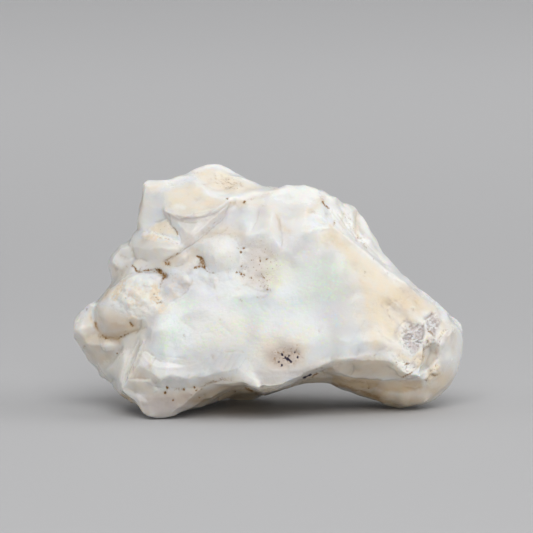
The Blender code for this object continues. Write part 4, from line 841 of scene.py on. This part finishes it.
# each face near a bend turns the way of the calmest patch beside it, which makes the bend an edge
def sharpen(piece):
    mesh = piece.data
    places = readMesh(piece)[0]
    corners = np.empty(len(mesh.loops), np.int64)
    mesh.loops.foreach_get("vertex_index", corners)
    edgeOf = np.empty(len(mesh.loops), np.int64)
    mesh.loops.foreach_get("edge_index", edgeOf)
    sizes = np.empty(len(mesh.polygons), np.int64)
    mesh.polygons.foreach_get("loop_total", sizes)
    faceOf = np.repeat(np.arange(len(sizes)), sizes)
    pairs = faceOf[np.argsort(edgeOf, kind="stable")].reshape(-1, 2)
    here, there = np.concatenate([pairs[:, 0], pairs[:, 1]]), np.concatenate([pairs[:, 1], pairs[:, 0]])
    facing = np.empty(len(sizes) * 3, np.float32)
    mesh.polygons.foreach_get("normal", facing)
    mean = facing.reshape(-1, 3).astype(float)
    for _ in range(stone["planeRounds"]):
        mean = np.stack([mean[:, axis] + np.bincount(here, weights=mean[there, axis], minlength=len(sizes))
                         for axis in range(3)], 1) / (1 + sizes[:, None])
    bend = 1 - np.linalg.norm(mean, axis=1)
    calmest, source = bend.copy(), np.arange(len(sizes))
    for _ in range(stone["planeReach"]):
        best = calmest.copy()
        np.minimum.at(best, here, calmest[there])
        won = (calmest[there] <= best[here]) & (best[here] < calmest[here])
        source[here[won]] = source[there[won]]
        calmest = best
    share = smooth(*stone["bends"], bend)[:, None]
    facing = mean / np.linalg.norm(mean, axis=1, keepdims=True)
    facing = facing + share * (facing[source] - facing)
    facing = facing / np.linalg.norm(facing, axis=1, keepdims=True)
    shares = np.bincount(corners, minlength=len(places))[:, None]
    for _ in range(stone["edgeRounds"]):
        middle = np.stack([np.bincount(faceOf, weights=places[corners, axis]) for axis in range(3)], 1)
        middle = middle / sizes[:, None]
        lift = ((middle[faceOf] - places[corners]) * facing[faceOf]).sum(1)[:, None] * facing[faceOf]
        places = places + np.stack([np.bincount(corners, weights=lift[:, axis], minlength=len(places))
                                    for axis in range(3)], 1) / shares
    writeMesh(piece, places)


def nudged(places):
    flat = sheetPlaces(places)
    moved = places.copy()
    for across, up, reach, (middle,) in nudges:
        share = np.exp(-(np.linalg.norm(flat - middle, axis=1) / reach) ** 2)
        moved += share[:, None] * (across, 0, up)
    return moved


# the chips that break up the surface: cell in mm, seed, stretch upwards, step and tilt in mm
chipKinds = {
    "tornPlates": (0.95, 63, 1.15, 0.26, 0.50),
    "splinters": (0.48, 67, 1.0, 0.10, 0.17),
    "broadFlakes": (5.2, 47, 1.3, 0.16, 0.30),
    "flakes": (2.1, 53, 1.0, 0.07, 0.16),
    "grain": (1.0, 59, 1.5, 0.05, 0.10),
}


def chipped(places, kind):  # lift in mm, and how far a place is from the gap round its chip
    cell, seed, stretch, step, tilt = chipKinds[kind]
    first, second, chip, tilted = chips(places * (1.0, 1.0, stretch), cell, seed)
    return step * (chip - 0.5) + tilt * tilted, second - first


def cutRelief(piece):
    places, normals = readMesh(piece)
    places = nudged(places)
    flat = sheetPlaces(places)
    strayed = strayedPlaces(places, stone["wander"])
    facing = smooth(-0.05, 0.15, normals @ towards)
    behind = 1 - smooth(-0.60, -0.15, normals @ towards)
    depth = np.zeros(len(places))
    broken = 0.8 + 0.4 * roughNoise(places, 2.0, 25, 2)
    for deep, half, line in grooves:
        spots = near(strayed, line, half * 4)
        away = lineDistance(strayed[spots], line)[0] / half
        cut = np.exp(-1.5 * away)
        depth[spots] -= stone["grooveShare"] * deep * cut * broken[spots] * facing[spots]
    for drop, reach, line in ledges:
        spots = near(strayed, line, reach * 2.5)
        away, side, share = lineDistance(strayed[spots], line)
        fade = smooth(0.0, 0.25, share) * smooth(1.0, 0.75, share)
        low = np.where(side > 0, np.exp(-away / reach * 1.4), 0) * smooth(0, 1.6, away)
        depth[spots] -= stone["ledgeShare"] * drop * low * fade * facing[spots]
    for height, radius, (middle,) in lumps:
        spots = near(strayed, [middle], radius * 1.8)
        away = np.linalg.norm(strayed[spots] - middle, axis=1) / radius
        dome = np.clip(1 - away ** 2 * 0.6, 0, 1) ** 2
        depth[spots] += stone["lumpShare"] * height * dome * facing[spots]
    for lift, across, down, soft, outline in plates:
        spots = near(strayed, outline, 2 * soft)
        offset = strayed[spots] - np.mean(outline, axis=0)
        inside = insideOf(strayed[spots], outline, soft)
        depth[spots] += inside * (lift + offset @ (across, down)) * facing[spots]

    # beads and crust
    frost = zoneMask(flat, "frost") * facing
    crust = behind * smooth(0.10, 0.40, roughNoise(places, 11, 31, 3))
    first = chips(places + 0.5 * roughNoise(places, 1.0, 41, 2)[:, None], 1.25, 43)[0]
    beads = np.clip(1 - first ** 2 * 1.5, 0, 1)
    depth += 0.17 * (beads - 0.45) * np.clip(frost + 0.7 * crust, 0, 1)
    # torn plates
    ragged = zoneMask(flat, "ragged") * facing
    lift, gap = chipped(places, "tornPlates")
    depth += ragged * lift * smooth(0.0, 0.12, gap)
    depth += ragged * chipped(places + 0.2 * roughNoise(places, 0.8, 69, 2)[:, None], "splinters")[0]
    # broad flat flakes, the fine grain of a broken face, and a gentle roughness over all
    broken = np.clip(frost + 0.8 * behind + 0.4 * zoneMask(flat, "cream"), 0, 1)
    shares = {
        "broadFlakes": 0.13 * (1 - frost) + 0.8 * behind,
        "flakes": 0.15 + 0.8 * behind,
        "grain": broken + 0.5 * frost,
    }
    for kind, share in shares.items():
        lift, gap = chipped(places, kind)
        depth += lift * smooth(0.0, 0.20, gap) * share
    unevenness = roughNoise(places, 2.2, 51, 3) + 0.5 * roughNoise(places, 0.7, 57, 2)
    depth += (0.018 + 0.028 * broken) * unevenness
    depth += 0.12 * behind * roughNoise(places, 1.6, 61, 3)
    places = places + normals * depth[:, None]

    # the edges round under where the stone meets the table, and each foot stands on its middle
    level = np.clip(1 - places[:, 2] / stone["footRounding"], 0, 1)
    inward = stone["footRounding"] * (1 - np.sqrt(np.clip(1 - level ** 2, 0, 1)))
    flatNormals = normals * (1, 1, 0)
    steep = np.linalg.norm(flatNormals, axis=1)[:, None]
    places = places - flatNormals / np.maximum(steep, 0.3) * inward[:, None] * smooth(0.1, 0.6, steep)
    low = places[:, 2] < 0.25
    for side, (shift, lift) in stone["feet"].items():
        x, y = places[low & ((places[:, 0] / 8).clip(-1, 1).astype(int) == side), :2].mean(0)
        away = np.hypot(places[:, 0] - x - shift, places[:, 1] - y)
        rise = lift * smooth(0.8, 3.4, away) * smooth(9, 7, away)
        places[:, 2] += rise * np.clip(1 - places[:, 2] / 2.5, 0, 1)
    writeMesh(piece, places)


def hollowness(piece, rounds):  # how high a point's neighbours stand over it, in mm
    places, normals = readMesh(piece)
    level = places
    for _ in range(rounds):
        level = levelled(piece, level)
    return ((level - places) * normals).sum(1)


def paintMasks(piece):
    places, normals = readMesh(piece)
    strayed = strayedPlaces(places, stone["wander"])
    cloudy = strayedPlaces(places, stone["zoneWander"], 3.6)
    faint = np.clip(0.85 + 0.8 * roughNoise(places, 0.9, 71, 3), 0.25, 1.0)
    facing = smooth(-0.22, -0.02, normals @ towards)
    elsewhere = 1 - facing
    patch = roughNoise(places, 13, 91, 4)
    second = roughNoise(places, 9, 97, 4)
    around = {
        "cream": 0.85 * smooth(0.0, 0.30, patch),
        # painted warm shade: more tan where the surface faces down
        "tan": 0.70 * smooth(0.12, 0.42, second) * smooth(0.6, -0.3, normals[:, 2]),
        "grey": 0.50 * smooth(0.02, 0.30, -patch),
        "lilac": 0.40 * smooth(0.10, 0.35, -second),
        "chalk": 0.60 * smooth(0.10, 0.40, roughNoise(places, 7, 103, 3)),
        "frost": 0.80 * smooth(0.10, 0.40, roughNoise(places, 11, 31, 3)),
        "fire": 0.20 * smooth(0.05, 0.35, roughNoise(places, 12, 107, 3)),
        "specks": 0.75 * smooth(0.18, 0.45, roughNoise(places, 8, 109, 3)),
    }
    masks = {}
    for name in ("cream", "tan", "grey", "lilac", "chalk", "frost", "fire", "specks", "dark", "brown", "ink",
                 "ragged", "flake", "green", "lime", "violet", "cyan"):
        drawn = np.maximum(zoneMask(strayed, name, cloudy), strokeMask(strayed, name, faint))
        drawn = np.maximum(drawn, dotMask(strayed, name))
        masks[name] = drawn * facing + around.get(name, 0.0) * elsewhere
    masks["flake"] = np.maximum(masks["flake"], 0.7 * masks["frost"] * elsewhere)
    masks["hollow"] = np.clip(hollowness(piece, 2) / 0.08, -1, 1)
    masks["broadHollow"] = np.clip(hollowness(piece, 16) / 0.40, -1, 1)
    for name, mask in masks.items():
        piece.data.attributes.new(name, "FLOAT", "POINT").data.foreach_set("value", mask.astype(np.float32))
    print("masks:", {name: round(float(mask.mean()), 3) for name, mask in masks.items()})


# subdivided, with the corners moved until the rounded surface passes through them again
def roundOff(piece):
    count = len(piece.data.vertices)
    wanted = readMesh(piece)[0]
    modifier = piece.modifiers.new("round", "SUBSURF")
    modifier.levels = modifier.render_levels = 2
    moved = wanted
    for _ in range(stone["fitRounds"]):
        bpy.context.view_layer.update()
        reached = piece.evaluated_get(bpy.context.evaluated_depsgraph_get()).data
        places = np.empty(len(reached.vertices) * 3)
        reached.vertices.foreach_get("co", places)
        moved = moved + 0.8 * (wanted - places.reshape(-1, 3)[:count] * 1000)
        far = np.linalg.norm(moved - wanted, axis=1, keepdims=True)
        moved = wanted + (moved - wanted) * np.minimum(1.0, stone["mostFit"] / np.maximum(far, 1e-9))
        writeMesh(piece, moved)
    pickOnly(piece)
    bpy.ops.object.modifier_apply(modifier=modifier.name)


# fewer triangles, first on the side away from the camera and then all over
def thinOut(piece):
    places, normals = readMesh(piece)
    hidden = normals @ towards < 0.0
    behind = piece.vertex_groups.new(name="behind")
    behind.add(np.where(hidden)[0].tolist(), 1.0, "REPLACE")
    total = 2 * len(places)
    extra = 2 * np.count_nonzero(hidden) - stone["behind"]
    applyModifier(piece, "DECIMATE", ratio=1 - extra / total, vertex_group="behind", vertex_group_factor=0.0)
    piece.vertex_groups.clear()
    applyModifier(piece, "DECIMATE", ratio=stone["triangles"] / (total - extra))


def makeStone(node):
    pickOnly(node)
    bpy.ops.object.duplicate()
    piece = bpy.context.view_layer.objects.active
    piece.name = "opal_stone"
    bpy.ops.object.parent_clear(type="CLEAR_KEEP_TRANSFORM")
    bpy.ops.object.mode_set(mode="EDIT")
    bpy.ops.mesh.select_all(action="SELECT")
    bpy.ops.mesh.remove_doubles(threshold=stone["mergeNearer"])
    bpy.ops.mesh.select_all(action="DESELECT")
    bpy.ops.mesh.select_mode(type="EDGE")
    bpy.ops.mesh.edges_select_sharp(sharpness=math.radians(stone["creaseAngle"]))
    bpy.ops.transform.edge_crease(value=stone["crease"])
    bpy.ops.object.mode_set(mode="OBJECT")
    roundOff(piece)
    applyModifier(piece, "REMESH", mode="VOXEL", voxel_size=stone["voxel"])
    print("stone: remeshed to", len(piece.data.vertices), "points")
    calmDown(piece)
    sharpen(piece)
    cutRelief(piece)
    thinOut(piece)
    places, normals = readMesh(piece)
    low, high = (np.array(corner) * 1000 for corner in cadBox)
    writeMesh(piece, np.clip(places, low, high))
    bpy.ops.object.shade_smooth()
    triangles = sum(len(face.vertices) - 2 for face in piece.data.polygons)
    print("stone:", len(piece.data.vertices), "points,", triangles, "triangles")
    return piece


opalStone = makeStone(frame["nodes"]["opal"])
paintMasks(opalStone)
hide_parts("opal")
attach(opalStone, "root")


# an output of a node, which can be used in sums
class Wire:
    def __init__(self, material, socket):
        self.material = material
        self.socket = socket

    def maths(self, operation, *values):
        return self.material.node("ShaderNodeMath", {"operation": operation}, list(values))

    def __add__(self, other):
        return self.maths("ADD", self, other)

    def __sub__(self, other):
        return self.maths("SUBTRACT", self, other)

    def __rsub__(self, other):
        return self.maths("SUBTRACT", other, self)

    def __mul__(self, other):
        return self.maths("MULTIPLY", self, other)

    def __neg__(self):
        return self.maths("MULTIPLY", self, -1.0)

    __radd__ = __add__
    __rmul__ = __mul__


class Finish:
    def __init__(self, name):
        self.made = bpy.data.materials.new(name)
        self.made.use_nodes = True
        self.made.node_tree.nodes.clear()

    def node(self, kind, settings=None, inputs=None, output=0):
        made = self.made.node_tree.nodes.new(kind)
        for name, value in (settings or {}).items():
            if name == "stops":
                for place, colour in value[2:]:
                    made.color_ramp.elements.new(place)
                for element, (place, colour) in zip(made.color_ramp.elements, sorted(value)):
                    element.position, element.color = place, (*colour, 1.0)
            else:
                setattr(made, name, value)
        pairs = inputs.items() if isinstance(inputs, dict) else enumerate(inputs or [])
        for name, value in pairs:
            socket = made.inputs[name]
            if isinstance(value, Wire):
                self.made.node_tree.links.new(value.socket, socket)
            else:
                socket.default_value = value
        return Wire(self, made.outputs[output]) if made.outputs else None

    def attribute(self, name):
        return self.node("ShaderNodeAttribute", {"attribute_name": name}, output="Fac")

    def clamp(self, value, low=0.0, high=1.0):
        return self.node("ShaderNodeClamp", {}, [value, low, high])

    def step(self, value, low, high):
        settings = {"interpolation_type": "SMOOTHSTEP", "clamp": True}
        return self.node("ShaderNodeMapRange", settings, [value, low, high, 0.0, 1.0])

    def blend(self, share, first, second):
        settings = {"data_type": "RGBA", "clamp_factor": True}
        return self.node("ShaderNodeMix", settings, {0: share, 6: first, 7: second}, output=2)

    def noise(self, places, scale, detail=3.0, rough=0.55, kind="Fac"):
        inputs = {"Vector": places, "Scale": scale, "Detail": detail, "Roughness": rough}
        return self.node("ShaderNodeTexNoise", {"noise_dimensions": "3D"}, inputs, output=kind)

    def cells(self, places, scale, output="Distance"):
        return self.node("ShaderNodeTexVoronoi", {}, {"Vector": places, "Scale": scale}, output=output)

    def vector(self, operation, *values, output=0):
        return self.node("ShaderNodeVectorMath", {"operation": operation}, list(values), output=output)


def shade(red, green, blue):
    def linear(value):
        value /= 255
        return value / 12.92 if value <= 0.04045 else ((value + 0.055) / 1.055) ** 2.4
    return (linear(red), linear(green), linear(blue), 1.0)


opalColours = {
    "milk": shade(227, 229, 228),
    "blueMilk": shade(220, 225, 231),
    "warmMilk": shade(232, 224, 212),
    "cream": shade(235, 222, 199),
    "tan": shade(205, 172, 116),
    "brown": shade(148, 112, 66),
    "dark": shade(92, 68, 34),
    "ink": shade(52, 44, 62),
    "grey": shade(226, 215, 198),
    "lilac": shade(196, 186, 184),
    "flake": shade(238, 224, 202),
    # painted shade: this grey-brown darkens hollows and the crevices of the torn planes
    "dustAndShade": shade(150, 136, 124),
    "chalk": shade(240, 240, 236),
    "mint": shade(192, 247, 198),
    "sky": shade(182, 230, 246),
    "violet": shade(216, 204, 242),
    "lime": shade(230, 242, 172),
    "rose": shade(248, 214, 226),
}


def makeOpal():
    f = Finish("milky_opal")
    place = f.node("ShaderNodeTexCoord", output="Object")
    mm = f.node("ShaderNodeVectorMath", {"operation": "SCALE"}, {0: place, "Scale": 1000.0})
    cream, tan, grey, lilac = map(f.attribute, ("cream", "tan", "grey", "lilac"))
    chalk, frost, fire, specks = map(f.attribute, ("chalk", "frost", "fire", "specks"))
    dark, brown, ink, ragged, flake = map(f.attribute, ("dark", "brown", "ink", "ragged", "flake"))
    hollow, broad = map(f.attribute, ("hollow", "broadHollow"))

    large = f.noise(mm, 0.09, 4.0)
    middling = f.noise(mm, 0.35, 4.0, 0.6)
    fine = f.noise(mm, 1.3, 5.0, 0.62)
    tiny = f.noise(mm, 5.0, 3.0, 0.6)

    colour = f.blend(f.step(large, 0.38, 0.62) * 0.6, opalColours["milk"], opalColours["blueMilk"])
    colour = f.blend(f.step(middling, 0.42, 0.70) * 0.45, colour, opalColours["warmMilk"])
    colour = f.blend(grey * (0.60 + middling * 0.2), colour, opalColours["grey"])
    colour = f.blend(f.clamp(cream * (0.15 + middling * 0.9 + fine * 0.5)), colour, opalColours["cream"])
    colour = f.blend(chalk * (0.6 + fine * 0.7), colour, opalColours["chalk"])
    colour = f.blend(flake * f.step(fine * 0.8 + middling * 0.6, 0.66, 0.70), colour, opalColours["flake"])
    torn = f.cells(f.vector("ADD", mm, f.noise(mm, 1.4, 3.0, kind="Color")), 0.9, output="Color")
    bare = 1 - ragged * f.step(torn, 0.60, 0.66)
    colour = f.blend(lilac * (0.70 + fine * 0.4) * bare, colour, opalColours["lilac"])
    # painted shade: the crevices of the torn planes are darkened
    colour = f.blend(ragged * f.step(hollow + fine * 0.6, 0.45, 0.95) * 0.4, colour, opalColours["dustAndShade"])
    colour = f.blend(tan * (0.45 + middling * 0.4), colour, opalColours["tan"])

    # soft play of colour, in flecks about half a millimetre across
    swirl = f.vector("ADD", mm, f.noise(mm, 0.8, 2.0, kind="Color"))
    fleck = f.cells(swirl, 2.1, output="Color")
    hue = f.node("ShaderNodeSeparateColor", {}, [fleck], output=0)
    amount = f.node("ShaderNodeSeparateColor", {}, [fleck], output=1)
    rainbow = f.node("ShaderNodeValToRGB", {"stops": [
        (0.0, opalColours["mint"][:3]), (1.0, opalColours["rose"][:3]), (0.50, opalColours["lime"][:3]),
        (0.76, opalColours["sky"][:3]), (0.92, opalColours["violet"][:3])]}, [hue], output="Color")
    glow = f.step(amount, 0.40, 0.75) * f.step(f.cells(swirl, 2.1), 0.85, 0.30)
    colour = f.blend(fire * glow * f.step(middling, 0.42, 0.56) * 0.30, colour, rainbow)
    web = f.step(f.noise(mm, 2.3, 2.5, 0.6), 0.50, 0.60)
    for name, tint in (("green", "mint"), ("lime", "lime"), ("violet", "violet"), ("cyan", "sky")):
        colour = f.blend(f.attribute(name) * (0.12 + web * 0.50 + glow * 0.25), colour, opalColours[tint])

    # painted highlight: convex edges drawn paler; painted shade: hollows darkened with tan and grey-brown;
    # then pepper and stains
    colour = f.blend(f.clamp(-hollow * 0.35 - 0.05), colour, opalColours["chalk"])
    colour = f.blend(f.clamp(hollow * 0.30 + broad * 0.10 - 0.04) * (0.20 + tan), colour, opalColours["tan"])
    colour = f.blend(f.clamp(hollow * 0.9 - 0.10) * 0.30, colour, opalColours["dustAndShade"])
    pepper = f.step(f.cells(mm, 1.5), 0.28, 0.12) * f.step(f.cells(mm, 1.5, output="Color"), 0.50, 0.62)
    dustAndShade = f.step(f.cells(mm, 3.2), 0.34, 0.18) * f.step(f.noise(mm, 0.8, 3.0), 0.50, 0.62)
    flecks = f.clamp(specks * (pepper * 0.60 + dustAndShade * 0.55))
    crumb = f.cells(mm, 4.2, output="Color")
    colour = f.blend(flecks, colour, opalColours["brown"])
    stain = f.clamp(brown * 0.30 + f.step(brown + crumb * 0.55, 0.55, 0.95) * 0.55)
    colour = f.blend(stain, colour, opalColours["brown"])
    pit = f.clamp(dark * 0.35 + f.step(dark + crumb * 0.55, 0.55, 0.95) * 0.75)
    colour = f.blend(pit, colour, opalColours["brown"])
    colour = f.blend(f.step(dark + crumb * 0.45, 0.85, 1.25) * 0.9, colour, opalColours["dark"])
    colour = f.blend(f.step(ink + crumb * 0.35, 0.60, 0.95), colour, opalColours["ink"])

    rough = 0.22 + frost * 0.24 + chalk * 0.14 + cream * 0.18 + (fine - 0.5) * 0.20
    facets = f.cells(f.vector("MULTIPLY", mm, (1.0, 1.0, 1.5)), 1.1)
    grain = 0.12 + frost * 0.7 + cream * 0.3 + chalk * 0.2
    height = fine * (0.3 + grain * 0.5) + (facets * 0.5 + tiny * 0.6) * grain
    bump = f.node("ShaderNodeBump", {}, {"Strength": 0.85, "Distance": 0.00020, "Height": height})
    body = f.node("ShaderNodeBsdfPrincipled", {"subsurface_method": "RANDOM_WALK"}, {
        "Base Color": colour, "Roughness": f.clamp(rough, 0.15, 0.95), "Normal": bump, "IOR": 1.45,
        "Subsurface Weight": 0.9, "Subsurface Radius": (1.0, 0.74, 0.48), "Subsurface Scale": 0.0010,
        "Coat Weight": 0.25, "Coat Roughness": 0.10})
    # dirt, rind and torn planes let less light in
    crust = f.node("ShaderNodeBsdfPrincipled", {}, {
        "Base Color": colour, "Roughness": f.clamp(rough + 0.3, 0.4, 0.95), "Normal": bump, "IOR": 1.45,
        "Specular IOR Level": 0.2})
    solid = f.clamp(pit * 1.5 + stain * 1.5 + ink + flecks * 2.0 + cream * 0.40 + lilac * 0.45 + frost * 0.35)
    mixed = f.node("ShaderNodeMixShader", {}, [solid, body, crust])
    f.node("ShaderNodeOutputMaterial", {}, {"Surface": mixed})
    return f.made


opalStone.data.materials.clear()
opalStone.data.materials.append(makeOpal())
print("finish: opal")

studio = {
    "paper": shade(184, 184, 185),
    "farPaper": shade(204, 204, 205),
    "paperGrain": shade(150, 150, 150),
    "air": (0.45, 0.45, 0.46, 1.0),
    "airStrength": 0.38,
    "aim": (0, 0, 0.02),    # metres, where the lamps point
    "size": 3.2,            # metres
    "lamps": {              # place, width and depth, power
        "overheadFront": ((0.0, -0.9, 1.1), (1.2, 0.9), 11.2),
        "overheadRight": ((0.8, 0.0, 1.1), (0.9, 1.2), 3.0),
        "overheadLeft": ((-0.8, 0.0, 1.1), (0.9, 1.2), 1.6),
        "sideLeft": ((-1.2, 0.1, 0.45), (0.8, 0.6), 1.3),
        "sideRight": ((1.2, 0.0, 0.4), (0.8, 0.6), 4.8),
        "overhead": ((0.0, 0.0, 1.3), (1.3, 1.3), 1.8),
        "overheadBack": ((0.0, 0.9, 1.0), (1.2, 0.8), 2.2),
        "farBack": ((0.0, 1.6, 1.6), (2.0, 1.0), 0.4),
        "lowFront": ((0.0, -1.5, 0.12), (1.8, 0.2), 3.0),
    },
}


def makeStudio():
    bpy.ops.object.select_all(action="DESELECT")
    bpy.ops.mesh.primitive_plane_add(size=studio["size"], location=(0, 0, 0))
    floor = bpy.context.active_object
    floor.name = "floor"
    f = Finish("paper")
    place = f.node("ShaderNodeTexCoord", output="Object")
    back = f.node("ShaderNodeSeparateXYZ", {}, [place], output="Y")
    # painted light: the paper is drawn lighter further back
    tone = f.blend(f.step(back, 0.12, 0.62), studio["paper"], studio["farPaper"])
    tone = f.blend(f.noise(place, 900.0, 3.0) * 0.06, tone, studio["paperGrain"])
    body = f.node("ShaderNodeBsdfPrincipled", {}, {"Base Color": tone, "Roughness": 0.85})
    f.node("ShaderNodeOutputMaterial", {}, {"Surface": body})
    floor.data.materials.append(f.made)

    for name, (place, size, power) in studio["lamps"].items():
        bpy.ops.object.light_add(type="AREA", location=place)
        lamp = bpy.context.active_object
        lamp.name = name
        lamp.data.shape = "RECTANGLE"
        lamp.data.size, lamp.data.size_y = size
        lamp.data.energy = power
        lamp.visible_camera = False
        lamp.rotation_euler = (Vector(studio["aim"]) - Vector(place)).to_track_quat("-Z", "Y").to_euler()

    world = bpy.data.worlds.new("air")
    bpy.context.scene.world = world
    world.use_nodes = True
    background = world.node_tree.nodes["Background"]
    background.inputs["Color"].default_value = studio["air"]
    background.inputs["Strength"].default_value = studio["airStrength"]


def makeCamera():
    bpy.ops.object.camera_add()
    camera = bpy.context.active_object
    camera.name = "camera"
    target = np.array([look["across"], 0.0, 0.0]) + upwards * look["up"]
    camera.location = target + towards * look["distance"]
    camera.rotation_euler = Vector(-towards).to_track_quat("-Z", "Y").to_euler()
    camera.data.sensor_width = look["sensor"]
    camera.data.lens = look["sensor"] * look["distance"] / look["frameWidth"]
    camera.data.clip_end = 20.0
    bpy.context.scene.camera = camera


makeStudio()
makeCamera()
bpy.context.scene.view_settings.view_transform = "Standard"
